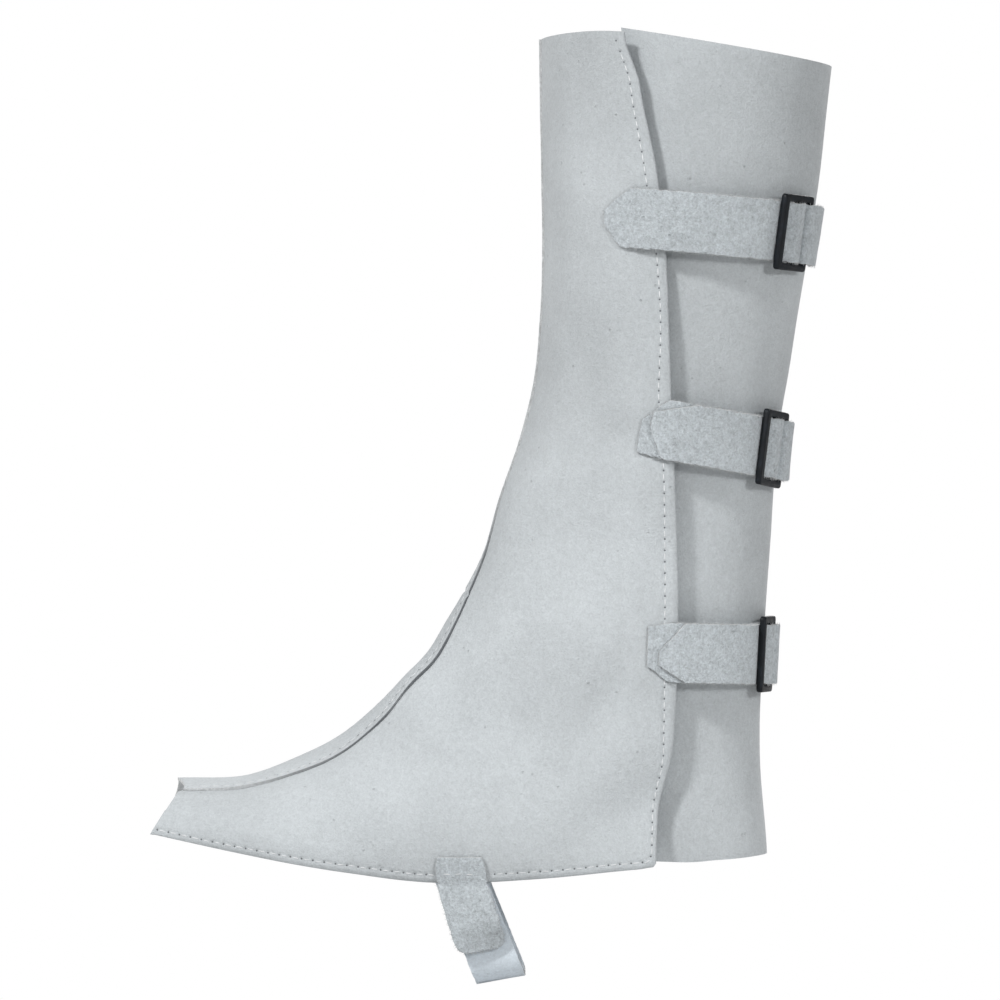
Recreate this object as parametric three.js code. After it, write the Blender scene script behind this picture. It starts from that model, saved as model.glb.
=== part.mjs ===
// Leather knee spat in millimetres: +Z up, toe towards -Y, buckled outer side towards +X.
// The origin lies on the axis of the leg, level with the lowest point of the hem.
import * as THREE from "three";

// Overall form
const spatHeight = 360;
const toeReach = 206;
const calfReach = 82;
const calfWidth = 112;
const foldDepth = 5;
const edgeStandoff = 5;
const topRise = 4.2;

// Leather and seams
const leather = 1.8;
const hemFold = 10;
const hemTurn = 1.3;
const clearance = 0.3;
const facetSlack = 0.25;
const flapTuck = 3;
const stripReach = 4;
const hemDip = 1.6;

// Straps, slides and tabs
const strapWidth = 25;
const strapLeather = 1.5;
const tipLength = 12;
const tipBlunt = 3;
const tipDescent = 8;
const strapPace = 6;
const barThickness = 2.6;
const outerBar = 4;
const innerBar = 3;
const slot = 7.5;
const rail = 3;
const slideLift = 4.7;
const tabLength = 20;
const tabDescent = 0.53;

// Strap under the foot and the tab over its sewn end; tilts and rolls in degrees
const stirrupWidth = 21;
const stirrupDrop = 41;
const stirrupCorner = 11;
const stirrupTilt = 22;
const stirrupRoll = 10;
const hemTabTilt = 17;
const hemTabLean = 6;
const hemTabDrop = 28;
const hemTabRise = 11.5;
const tabEndFlare = 3;
const stirrupTuck = 9;
const stirrupPlace = -0.366;

// Shares of a row's angle: where the panel starts to stand off, and how soon the flap is tucked in
const standoffStart = 0.55;
const tuckStart = 0.12;
const tuckEnd = 0.88;

// Fineness of the meshes
const rowsPerSection = 3;
const panelColumns = 14;
const wrapColumns = 17;
const flapColumns = 8;
const strapColumns = 3;
const turnSteps = 6;
const tabSteps = 4;
const cornerSteps = 5;

const degrees = Math.PI / 180;

// Sections from the toe to the top, each a slice from the front ridge to the back or, at the foot,
// to a point under the sole. Heights are shares of spatHeight. Y shares are of toeReach towards the
// toe and of calfReach towards the back. Half widths are shares of half of calfWidth, seams are
// degrees round the section from the ridge, and flares are shares of edgeStandoff.
const sections = [
  {
    at: 0, frontY: -0.934, frontZ: 0.119, backY: -1.056, backZ: 0.013,
    half: 0.66, power: 1.1, seam: 39, flare: 0,
  },
  {
    at: 1, frontY: -0.815, frontZ: 0.122, backY: -0.891, backZ: -0.011,
    half: 0.74, power: 1.15, seam: 36, flare: 0,
  },
  {
    at: 2, frontY: -0.701, frontZ: 0.145, backY: -0.718, backZ: -0.051,
    half: 0.79, power: 1.2, seam: 35, flare: 0,
  },
  {
    at: 3, frontY: -0.619, frontZ: 0.169, backY: -0.493, backZ: -0.077,
    half: 0.81, power: 1.2, seam: 31, flare: 0,
  },
  {
    at: 4, frontY: -0.541, frontZ: 0.206, backY: -0.26, backZ: -0.097,
    half: 0.82, power: 1.2, seam: 26, flare: 0.05,
  },
  {
    at: 5, frontY: -0.484, frontZ: 0.24, backY: -0.029, backZ: -0.093,
    half: 0.82, power: 1.15, seam: 20, flare: 0.2,
  },
  {
    at: 6, frontY: -0.436, frontZ: 0.268, backY: 0.529, backZ: -0.077,
    half: 0.82, power: 1.1, seam: 18, flare: 0.8,
  },
  {
    at: 7, frontY: -0.399, frontZ: 0.302, backY: 0.632, backZ: -0.026,
    half: 0.81, power: 1.05, seam: 17, flare: 0.8,
  },
  {
    at: 8, frontY: -0.36, frontZ: 0.341, backY: 0.648, backZ: 0.032,
    half: 0.81, power: 1, seam: 14, flare: 0.7,
  },
  {
    at: 9, frontY: -0.319, frontZ: 0.388, backY: 0.612, backZ: 0.151,
    half: 0.81, power: 1, seam: 10, flare: 0.52,
  },
  {
    at: 10, frontY: -0.281, frontZ: 0.455, backY: 0.627, backZ: 0.277,
    half: 0.83, power: 1, seam: 4, flare: 0.48,
  },
  {
    at: 11, frontY: -0.243, frontZ: 0.517, backY: 0.669, backZ: 0.401,
    half: 0.86, power: 1, seam: 2, flare: 0.6,
  },
  {
    at: 12, frontY: -0.213, frontZ: 0.584, backY: 0.705, backZ: 0.519,
    half: 0.89, power: 1, seam: 2, flare: 0.5,
  },
  {
    at: 13, frontY: -0.2, frontZ: 0.655, backY: 0.772, backZ: 0.617,
    half: 0.93, power: 1, seam: 2, flare: 0.64,
  },
  {
    at: 14, frontY: -0.194, frontZ: 0.744, backY: 0.845, backZ: 0.718,
    half: 0.96, power: 1, seam: 2, flare: 0.24,
  },
  {
    at: 15, frontY: -0.198, frontZ: 0.868, backY: 0.928, backZ: 0.838,
    half: 0.98, power: 1, seam: 2, flare: 0.5,
  },
  {
    at: 16, frontY: -0.202, frontZ: 0.992, backY: 0.985, backZ: 0.96,
    half: 1, power: 1, seam: 2, flare: 1,
  },
];

// Bottom edge from the toe to the heel
const hemEdge = [
  { at: -1, height: 0.056 },
  { at: -0.815, height: 0.033 },
  { at: -0.609, height: 0.012 },
  { at: -0.423, height: 0 },
  { at: -0.206, height: 0.005 },
  { at: 0.073, height: 0.021 },
  { at: 0.415, height: 0.024 },
  { at: 0.648, height: 0.032 },
];

// Rear edge of the outer panel, by height, with its place along Y
const rearEdge = [
  { at: 0.021, y: 0.073 },
  { at: 0.094, y: 0.098 },
  { at: 0.159, y: 0.156 },
  { at: 0.31, y: 0.187 },
  { at: 0.436, y: 0.176 },
  { at: 0.606, y: 0.15 },
  { at: 0.733, y: 0.13 },
  { at: 0.833, y: 0.083 },
  { at: 0.908, y: 0.016 },
  { at: 0.992, y: -0.037 },
];

// Free edge of the inner panel where it lies under the outer one, by section
const flapEdge = [
  { at: 8, y: -0.016, z: 0.025 },
  { at: 9, y: 0, z: 0.198 },
  { at: 10, y: 0, z: 0.331 },
  { at: 11, y: 0, z: 0.451 },
  { at: 12, y: 0, z: 0.555 },
  { at: 13, y: 0, z: 0.641 },
  { at: 14, y: -0.008, z: 0.736 },
  { at: 15, y: -0.02, z: 0.859 },
  { at: 16, y: -0.033, z: 1 },
];

// Folds and dents of the outer side: centre, half length and half width as shares of spatHeight,
// turn in degrees from +Y towards +Z, and depth as a share of foldDepth, below zero for a hollow
const folds = [
  { y: -0.113, z: 0.407, long: 0.085, wide: 0.032, turn: 40, depth: -0.6 },
  { y: -0.13, z: 0.283, long: 0.07, wide: 0.055, turn: 0, depth: 0.6 },
  { y: -0.05, z: 0.12, long: 0.06, wide: 0.038, turn: 45, depth: -0.8 },
  { y: -0.36, z: 0.224, long: 0.05, wide: 0.022, turn: 50, depth: -0.5 },
  { y: -0.025, z: 0.52, long: 0.03, wide: 0.03, turn: 0, depth: -0.35 },
];

// Strap lines on the side: a point of the middle line, its slope in degrees down towards the back,
// where the strap's tip, its sewn end and the slide lie in degrees round the section, and how far
// the slide tips inwards at the back. The upper and lower slants of the strap's tip are shares of
// tipLength and its point is a share of strapWidth.
const straps = [
  {
    name: "top", y: 0.674, z: 0.764, slope: 4.6, tip: 57, base: 75, slide: 143, tilt: 8,
    upperTip: 0.95, lowerTip: 0.7, point: 0,
  },
  {
    name: "middle", y: 0.632, z: 0.51, slope: 10.5, tip: 88, base: 84, slide: 152, tilt: 6.5,
    upperTip: 1.3, lowerTip: 0.5, point: 0.15,
  },
  {
    name: "bottom", y: 0.622, z: 0.268, slope: 1.6, tip: 103, base: 99, slide: 163, tilt: 9,
    upperTip: 0.85, lowerTip: 0.9, point: -0.1,
  },
];

const lastSection = sections.length - 1;
const firstFullSection = flapEdge[0].at;
const lowestStrapSection = firstFullSection / 2;

function along(share) {
  return share < 0 ? share * toeReach : share * calfReach;
}

function vector(x, y, z) {
  return new THREE.Vector3(x, y, z);
}

function smooth(value) {
  return THREE.MathUtils.smoothstep(value, 0, 1);
}

// Smooth value of one column of a table whose "at" grows from row to row
function valueAt(rows, column, at) {
  const last = rows.length - 1;
  let row = 0;
  while (row < last - 1 && at > rows[row + 1].at) row += 1;
  const slope = (index) => {
    const below = rows[Math.max(index - 1, 0)];
    const above = rows[Math.min(index + 1, last)];
    return (above[column] - below[column]) / (above.at - below.at);
  };
  const start = rows[row];
  const end = rows[row + 1];
  const span = end.at - start.at;
  const share = THREE.MathUtils.clamp((at - start.at) / span, 0, 1);
  const blend = share * share * (3 - 2 * share);
  const leave = span * slope(row) * share * (1 - share) ** 2;
  const arrive = span * slope(row + 1) * share * share * (share - 1);
  return start[column] * (1 - blend) + end[column] * blend + leave + arrive;
}

// Highest argument for which a falling function is still above zero
function crossing(test, low, high) {
  let from = low;
  let to = high;
  for (let step = 0; step < 40; step += 1) {
    const middle = (from + to) / 2;
    if (test(middle) > 0) from = middle;
    else to = middle;
  }
  return (from + to) / 2;
}

function sectionAt(place) {
  const column = (name) => valueAt(sections, name, place);
  return {
    front: { y: along(column("frontY")), z: column("frontZ") * spatHeight },
    back: { y: along(column("backY")), z: column("backZ") * spatHeight },
    half: (column("half") * calfWidth) / 2,
    power: column("power"),
    seam: column("seam") * degrees,
    flare: column("flare") * edgeStandoff,
  };
}

// How far a fold lifts or sinks the outer side at a point of the side view
function reliefAt(y, z) {
  let relief = 0;
  for (const fold of folds) {
    const dy = (y - fold.y * spatHeight) / spatHeight;
    const dz = (z - fold.z * spatHeight) / spatHeight;
    const turn = fold.turn * degrees;
    const far = (dy * Math.cos(turn) + dz * Math.sin(turn)) / fold.long;
    const wide = (dz * Math.cos(turn) - dy * Math.sin(turn)) / fold.wide;
    relief += fold.depth * foldDepth * Math.exp(-(far * far + wide * wide));
  }
  return relief;
}

// A point of the form: angle 0 is the front ridge, 90 degrees the outer side, 180 the back
function formPoint(place, angle) {
  const section = sectionAt(place);
  const across = (1 - Math.cos(angle)) / 2;
  const y = THREE.MathUtils.lerp(section.front.y, section.back.y, across);
  const z = THREE.MathUtils.lerp(section.front.z, section.back.z, across);
  const turn = Math.sin(angle);
  const side = Math.sign(turn) * Math.abs(turn) ** section.power * section.half;
  const relief = turn > 0 ? reliefAt(y, z) * turn * turn : 0;
  return vector(side + relief, y, z);
}

function formNormal(place, angle) {
  const step = 0.02;
  const up = formPoint(Math.min(place + step, lastSection), angle);
  up.sub(formPoint(Math.max(place - step, 0), angle));
  const round = formPoint(place, angle + step).sub(formPoint(place, angle - step));
  return round.cross(up).normalize();
}

// Section and angle of a point of the outer side that is given in the side view
function locate(y, z) {
  const above = (place) => {
    const { front, back } = sectionAt(place);
    return (back.y - front.y) * (z - front.z) - (back.z - front.z) * (y - front.y);
  };
  const place = crossing(above, 0, lastSection);
  const { front, back } = sectionAt(place);
  const reach = Math.hypot(y - front.y, z - front.z) / Math.hypot(back.y - front.y, back.z - front.z);
  const angle = Math.acos(1 - 2 * THREE.MathUtils.clamp(reach, 0, 1));
  return { place, angle };
}

function hemHeight(y) {
  return valueAt(hemEdge, "height", y < 0 ? y / toeReach : y / calfReach) * spatHeight;
}

function rearLine(z) {
  return along(valueAt(rearEdge, "y", z / spatHeight));
}

// Angle at which a section meets the hem or, on the outer panel, its rear edge
function endAngle(place, hasRearEdge) {
  const { front, back } = sectionAt(place);
  const inside = (across) => {
    const y = THREE.MathUtils.lerp(front.y, back.y, across);
    const z = THREE.MathUtils.lerp(front.z, back.z, across);
    const aboveHem = z - hemHeight(y);
    return hasRearEdge ? Math.min(aboveHem, rearLine(z) - y) : aboveHem;
  };
  const across = inside(1) > 0 ? 1 : crossing(inside, 0.3, 1);
  return Math.acos(1 - 2 * across);
}

// Section of a row of a panel's net, with rows crowded where they begin to reach round the back
function rowPlace(row) {
  const place = row / rowsPerSection;
  const before = firstFullSection - place;
  return before > 0 && before < 1 ? firstFullSection - before * before : place;
}

// Distance by which the outer panel stands off the form near its free edge
function standoffAt(place, angle) {
  const { flare } = sectionAt(place);
  const free = endAngle(place, true);
  const start = free * standoffStart;
  return flare * smooth((angle - start) / (free - start));
}

// Closed solid round a net of four-sided cells, with a thickness to each side of every point
function sheetSolid(points, cells, outwards, inwards) {
  const normals = points.map(() => vector(0, 0, 0));
  const edges = new Map();
  for (const cell of cells) {
    const [a, b, c, d] = cell.map((index) => points[index]);
    const face = c.clone().sub(a).cross(d.clone().sub(b));
    cell.forEach((index) => normals[index].add(face));
    cell.forEach((index, corner) => {
      const next = cell[(corner + 1) % 4];
      const back = `${next} ${index}`;
      if (edges.has(back)) edges.delete(back);
      else edges.set(`${index} ${next}`, [index, next]);
    });
  }
  const positions = [];
  const offset = (index, distance) => {
    const point = normals[index].clone().normalize().multiplyScalar(distance).add(points[index]);
    positions.push(point.x, point.y, point.z);
  };
  points.forEach((point, index) => offset(index, outwards[index]));
  points.forEach((point, index) => offset(index, -inwards[index]));
  const under = points.length;
  const faces = [];
  for (const cell of cells) {
    const [first, second, third, fourth] = cell.map((index) => points[index]);
    const turned = first.distanceTo(third) > second.distanceTo(fourth);
    const [a, b, c, d] = turned ? [...cell.slice(1), cell[0]] : cell;
    faces.push(a, b, c, a, c, d);
    faces.push(under + a, under + c, under + b, under + a, under + d, under + c);
  }
  for (const [a, b] of edges.values()) {
    faces.push(b, a, under + a, b, under + a, under + b);
  }
  const geometry = new THREE.BufferGeometry();
  geometry.setAttribute("position", new THREE.Float32BufferAttribute(positions, 3));
  geometry.setIndex(faces);
  geometry.computeVertexNormals();
  return geometry;
}

// Cells of a net of rows and columns whose points are numbered row by row
function netCells(rows, columns, flip) {
  const cells = [];
  for (let row = 0; row < rows; row += 1) {
    for (let column = 0; column < columns; column += 1) {
      const corner = row * (columns + 1) + column;
      const above = corner + columns + 1;
      const cell = [corner, corner + 1, above + 1, above];
      cells.push(flip ? cell.reverse() : cell);
    }
  }
  return cells;
}

const group = new THREE.Group();

function addMesh(name, geometry, finish) {
  const mesh = new THREE.Mesh(geometry, new THREE.MeshStandardMaterial(finish));
  mesh.name = name;
  group.add(mesh);
  return mesh;
}

const suede = { color: 0xc7ccce, roughness: 0.95, metalness: 0 };
const strapSuede = { color: 0xbec5c7, roughness: 0.95, metalness: 0 };
const blackMetal = { color: 0x1c1d1f, roughness: 0.45, metalness: 0.6 };

// Outer panel: from the seam to the hem and the rear edge, thicker where its edge is turned in
function outerPanel() {
  const rows = lastSection * rowsPerSection;
  const points = [];
  const inwards = [];
  for (let row = 0; row <= rows; row += 1) {
    const place = rowPlace(row);
    const section = sectionAt(place);
    const end = endAngle(place, true);
    const step = 0.05;
    const pace = formPoint(place, end).distanceTo(formPoint(place, end - step)) / step;
    const start = section.seam + clearance / section.half;
    const body = end - (hemFold + leather) / pace;
    for (let column = 0; column <= panelColumns; column += 1) {
      const folded = column - (panelColumns - 2);
      const share = column / (panelColumns - 2);
      let angle = start + (body - start) * share;
      if (folded > 0) angle = folded > 1 ? end : end - hemFold / pace;
      const point = formPoint(place, angle);
      const lift = standoffAt(place, angle);
      point.addScaledVector(formNormal(place, angle), lift);
      point.z += topRise * smooth((place - lastSection) / 1.5 + 1) * smooth(angle / end);
      points.push(point);
      inwards.push(leather / 2 + (folded > 0 ? hemTurn : 0));
    }
  }
  const outwards = points.map(() => leather / 2);
  return sheetSolid(points, netCells(rows, panelColumns, false), outwards, inwards);
}

// Inner panel: over the ridge, round the inner side and the back, and under the outer panel's edge
function innerPanel() {
  const rows = lastSection * rowsPerSection;
  const points = [];
  for (let row = 0; row <= rows; row += 1) {
    const place = rowPlace(row);
    const section = sectionAt(place);
    const start = section.seam - clearance / section.half;
    const end = place < firstFullSection ? -endAngle(place, false) : -Math.PI;
    for (let column = 0; column <= wrapColumns; column += 1) {
      const angle = THREE.MathUtils.lerp(start, end, column / wrapColumns);
      const point = formPoint(place, angle);
      const ahead = stripReach * smooth(1 - place) * smooth(1 - Math.abs(angle - start) / (start * 2));
      point.y -= ahead;
      points.push(point);
    }
  }
  const cells = netCells(rows, wrapColumns, true);

  // The flap continues the rows that reach the back
  const firstRow = firstFullSection * rowsPerSection;
  const number = (row, column) => {
    if (column === 0) return row * (wrapColumns + 1) + wrapColumns;
    return (rows + 1) * (wrapColumns + 1) + (row - firstRow) * flapColumns + column - 1;
  };
  for (let row = firstRow; row <= rows; row += 1) {
    const place = rowPlace(row);
    const { back } = sectionAt(place);
    const freeY = along(valueAt(flapEdge, "y", place));
    const freeZ = valueAt(flapEdge, "z", place) * spatHeight;
    for (let column = 1; column <= flapColumns; column += 1) {
      const share = column / flapColumns;
      const reach = 1 - Math.cos((share * Math.PI) / 2);
      const y = THREE.MathUtils.lerp(back.y, freeY, reach);
      const dip = hemDip * Math.sin(reach * Math.PI) * smooth(firstFullSection + 1 - place);
      const z = THREE.MathUtils.lerp(back.z, freeZ, reach) - dip;
      const found = locate(y, z);
      const point = formPoint(found.place, found.angle);
      const normal = formNormal(found.place, found.angle);
      point.set(point.x, y, z);
      point.addScaledVector(normal, -flapTuck * smooth((share - tuckStart) / (tuckEnd - tuckStart)));
      points.push(point);
    }
  }
  for (let row = firstRow; row < rows; row += 1) {
    for (let column = 0; column < flapColumns; column += 1) {
      const cell = [
        number(row, column),
        number(row + 1, column),
        number(row + 1, column + 1),
        number(row, column + 1),
      ];
      cells.push(cell);
    }
  }
  const thickness = points.map(() => leather / 2);
  return sheetSolid(points, cells, thickness, thickness);
}

addMesh("outer_panel", outerPanel(), suede);
addMesh("inner_panel", innerPanel(), suede);

// Line of a strap on the form, measured in millimetres from the middle of its slide
function strapTrack(strap) {
  const slope = Math.tan(strap.slope * degrees);
  const lineY = along(strap.y);
  const lineZ = strap.z * spatHeight;
  const placeAt = (angle, rise = 0) => {
    const below = (place) => {
      const { front, back } = sectionAt(place);
      const across = (1 - Math.cos(angle)) / 2;
      const y = THREE.MathUtils.lerp(front.y, back.y, across);
      const z = THREE.MathUtils.lerp(front.z, back.z, across);
      return lineZ + rise - slope * (y - lineY) - z;
    };
    return crossing(below, lowestStrapSection, lastSection);
  };
  const pointAt = (angle) => formPoint(placeAt(angle), angle);
  const slideAngle = strap.slide * degrees;
  const firstAngle = 25 * degrees;
  const lastAngle = 240 * degrees;
  const stepAngle = 2 * degrees;
  const samples = [{ angle: firstAngle, length: 0 }];
  let previous = pointAt(firstAngle);
  for (let angle = firstAngle + stepAngle; angle < lastAngle; angle += stepAngle) {
    const point = pointAt(angle);
    samples.push({ angle, length: samples.at(-1).length + point.distanceTo(previous) });
    previous = point;
  }
  const lengthAt = (angle) => {
    const next = samples.findIndex((sample) => sample.angle > angle);
    const a = samples[next - 1];
    const b = samples[next];
    return a.length + ((b.length - a.length) * (angle - a.angle)) / (b.angle - a.angle);
  };
  const slideLength = lengthAt(slideAngle);
  const angleAt = (distance) => {
    const length = distance + slideLength;
    const next = samples.findIndex((sample) => sample.length > length);
    const a = samples[next - 1];
    const b = samples[next];
    return a.angle + ((b.angle - a.angle) * (length - a.length)) / (b.length - a.length);
  };
  const frameAt = (distance) => {
    const angle = angleAt(distance);
    const place = placeAt(angle);
    const normal = formNormal(place, angle);
    const forward = pointAt(angle + stepAngle).sub(pointAt(angle - stepAngle)).normalize();
    const across = normal.clone().cross(forward).normalize();
    return { angle, place, point: pointAt(angle), normal, forward, across };
  };
  const tilt = strap.tilt * degrees;
  const flat = frameAt(0);
  const home = {
    point: flat.point.clone().addScaledVector(flat.normal, slideLift),
    across: flat.across,
    forward: flat.forward.clone().applyAxisAngle(flat.across, tilt),
    normal: flat.normal.clone().applyAxisAngle(flat.across, tilt),
  };
  const distanceTo = (angle) => lengthAt(angle * degrees) - slideLength;
  const edge = crossing((distance) => {
    const { point } = frameAt(distance);
    return rearLine(point.z) - point.y;
  }, -calfReach, 0);
  return { home, frameAt, placeAt, distanceTo, edge };
}

// Band of leather through rows of points that run across it
function band(rows, thickness) {
  const columns = rows[0].length - 1;
  const half = rows.flat().map(() => thickness / 2);
  return sheetSolid(rows.flat(), netCells(rows.length - 1, columns, true), half, half);
}

// Row of points across a band between two edges, each found by its distance from the middle line
function rowAcross(low, high, pointAt) {
  const row = [];
  for (let column = 0; column <= strapColumns; column += 1) {
    row.push(pointAt(THREE.MathUtils.lerp(low, high, column / strapColumns)));
  }
  return row;
}

const slideWidth = strapWidth + 4 * clearance + 2 * rail;
const slideLength = outerBar + 2 * innerBar + 2 * slot;
const barGap = barThickness / 2 + clearance + strapLeather / 2;
const layer = strapLeather + clearance;
const leftBarEdge = slideLength / 2 - outerBar;
const middleBarStart = -leftBarEdge + slot;
const middleBarEnd = middleBarStart + innerBar;
const rightBarStart = middleBarEnd + slot;
const ease = 2 * clearance;

const halfStrap = strapWidth / 2;
const strapSeat = leather / 2 + clearance + facetSlack + strapLeather / 2;

// Row of a strap or a tab that lies flat in the plane of its slide
function slideRow(track, distance, height) {
  const { point, forward, across, normal } = track.home;
  const middle = point.clone().addScaledVector(forward, distance).addScaledVector(normal, height);
  return rowAcross(-halfStrap, halfStrap, (side) => middle.clone().addScaledVector(across, side));
}

// Row that follows the outer side at a height that may change with the place
function sideRow(track, distance, heightAt, low = -halfStrap, high = halfStrap) {
  const { point, across } = track.frameAt(distance);
  return rowAcross(low, high, (side) => {
    const target = point.clone().addScaledVector(across, side);
    const { place, angle } = locate(target.y, target.z);
    const seat = formPoint(place, angle);
    seat.set(seat.x, target.y, target.z);
    return seat.addScaledVector(formNormal(place, angle), heightAt(place, angle));
  });
}

// Row that follows the back, where the side view shows the form edge on
function backRow(track, distance, height) {
  const { angle } = track.frameAt(distance);
  return rowAcross(-halfStrap, halfStrap, (side) => {
    const place = track.placeAt(angle, side);
    return formPoint(place, angle).addScaledVector(formNormal(place, angle), height);
  });
}

// Height of the slide's middle plane above the form
function planeHeight(track, distance) {
  const { point, normal } = track.home;
  const here = track.frameAt(distance);
  return point.clone().sub(here.point).dot(normal) / here.normal.dot(normal);
}

// Half turn of leather round a bar, from below to above
function turnRows(track, centre, side) {
  const rows = [];
  for (let step = 0; step <= turnSteps; step += 1) {
    const angle = (step / turnSteps - 0.5) * Math.PI;
    const distance = centre + side * barGap * Math.cos(angle);
    rows.push(slideRow(track, distance, barGap * Math.sin(angle)));
  }
  return rows;
}

// Strap from its sewn end, under the slide's front bar, round the middle bar and back to its tip
function strapBand(strap, track) {
  const base = track.distanceTo(strap.base);
  const tip = track.distanceTo(strap.tip);
  const flat = -slideLength / 2 - ease;
  const bridge = planeHeight(track, flat) - barGap - layer;
  const lowerHeight = (distance) => (place, angle) => {
    const free = Math.min(angle, endAngle(place, true));
    const seat = standoffAt(place, free) + strapSeat;
    const share = smooth((distance - track.edge) / (flat - track.edge));
    return THREE.MathUtils.lerp(seat, bridge, share);
  };
  const upperHeight = (distance) => (place, angle) => {
    const share = smooth((distance - base) / tipDescent + 1);
    return lowerHeight(distance)(place, angle) + layer * share;
  };
  const rows = [];
  const lowerSteps = Math.ceil((flat - base) / strapPace);
  for (let step = 0; step < lowerSteps; step += 1) {
    const distance = THREE.MathUtils.lerp(base, flat, step / lowerSteps);
    rows.push(sideRow(track, distance, lowerHeight(distance)));
  }
  rows.push(slideRow(track, flat, -barGap - layer));
  rows.push(slideRow(track, -leftBarEdge + ease, -barGap - layer));
  rows.push(slideRow(track, middleBarStart - ease, -barGap));
  rows.push(...turnRows(track, middleBarEnd, 1));
  rows.push(slideRow(track, middleBarStart - ease, barGap));
  rows.push(slideRow(track, -leftBarEdge + ease, -barGap));
  rows.push(slideRow(track, flat, -barGap));
  const slants = [strap.upperTip * tipLength, strap.lowerTip * tipLength];
  const shoulder = tip + Math.max(...slants);
  const upperSteps = Math.max(2, Math.ceil((flat - shoulder) / strapPace));
  for (let step = 1; step < upperSteps; step += 1) {
    const distance = THREE.MathUtils.lerp(flat, shoulder, step / upperSteps);
    rows.push(sideRow(track, distance, upperHeight(distance)));
  }
  const stops = [...slants, Math.min(...slants) / 2, 0].sort((a, b) => b - a);
  for (const stop of stops) {
    const point = strap.point * strapWidth;
    const high = THREE.MathUtils.lerp(point + tipBlunt, halfStrap, Math.min(1, stop / slants[0]));
    const low = THREE.MathUtils.lerp(point - tipBlunt, -halfStrap, Math.min(1, stop / slants[1]));
    rows.push(sideRow(track, tip + stop, upperHeight(tip + stop), low, high));
  }
  return band(rows, strapLeather);
}

// Tab sewn to the back of the inner panel and folded round the slide's rear bar
function slideTab(track) {
  const start = rightBarStart + innerBar + ease;
  const plane = planeHeight(track, start);
  const rowAt = (step, fromHeight, toHeight) => {
    const share = step / tabSteps;
    const height = THREE.MathUtils.lerp(fromHeight, toHeight, smooth(share / tabDescent));
    return backRow(track, start + tabLength * share, height);
  };
  const rows = [];
  for (let step = tabSteps; step > 0; step -= 1) rows.push(rowAt(step, plane - barGap, strapSeat));
  rows.push(slideRow(track, start, -barGap));
  rows.push(...turnRows(track, rightBarStart, -1));
  rows.push(slideRow(track, start, barGap));
  for (let step = 1; step <= tabSteps; step += 1) {
    rows.push(rowAt(step, plane + barGap, strapSeat + layer));
  }
  return band(rows, strapLeather);
}

function roundedRectangle(shape, left, right, low, high, radius) {
  shape.moveTo(left + radius, low);
  shape.lineTo(right - radius, low);
  shape.quadraticCurveTo(right, low, right, low + radius);
  shape.lineTo(right, high - radius);
  shape.quadraticCurveTo(right, high, right - radius, high);
  shape.lineTo(left + radius, high);
  shape.quadraticCurveTo(left, high, left, high - radius);
  shape.lineTo(left, low + radius);
  shape.quadraticCurveTo(left, low, left + radius, low);
  return shape;
}

// Flat slide with two slots
function slideGeometry() {
  const bevel = 0.6;
  const half = slideWidth / 2;
  const outline = roundedRectangle(
    new THREE.Shape(),
    -slideLength / 2 + bevel,
    slideLength / 2 - bevel,
    -half + bevel,
    half - bevel,
    2,
  );
  const window = half - rail + bevel;
  for (const left of [-leftBarEdge, middleBarEnd]) {
    const hole = new THREE.Path();
    outline.holes.push(roundedRectangle(hole, left - bevel, left + slot + bevel, -window, window, 1));
  }
  const geometry = new THREE.ExtrudeGeometry(outline, {
    depth: barThickness - 2 * bevel,
    bevelEnabled: true,
    bevelThickness: bevel,
    bevelSize: bevel,
    bevelSegments: 1,
    curveSegments: 2,
  });
  return geometry.translate(0, 0, bevel - barThickness / 2);
}

for (const strap of straps) {
  const track = strapTrack(strap);
  addMesh(`strap_${strap.name}`, strapBand(strap, track), strapSuede);
  addMesh(`buckle_tab_${strap.name}`, slideTab(track), strapSuede);
  const slide = addMesh(`buckle_${strap.name}`, slideGeometry(), blackMetal);
  const { point, forward, across, normal } = track.home;
  const turn = new THREE.Matrix4().makeBasis(forward, across, normal);
  slide.quaternion.setFromRotationMatrix(turn);
  slide.position.copy(point);
}

// Frame of the hem where the strap under the foot is sewn, on the outer side
const tabY = stirrupPlace * toeReach;
const tabHem = locate(tabY, hemHeight(tabY));
const hemPoint = formPoint(tabHem.place, tabHem.angle);
const downTilt = stirrupTilt * degrees;
const roll = stirrupRoll * degrees;
const stirrupAcross = vector(0, Math.cos(roll), Math.sin(roll));
const halfStirrup = stirrupWidth / 2;

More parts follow.
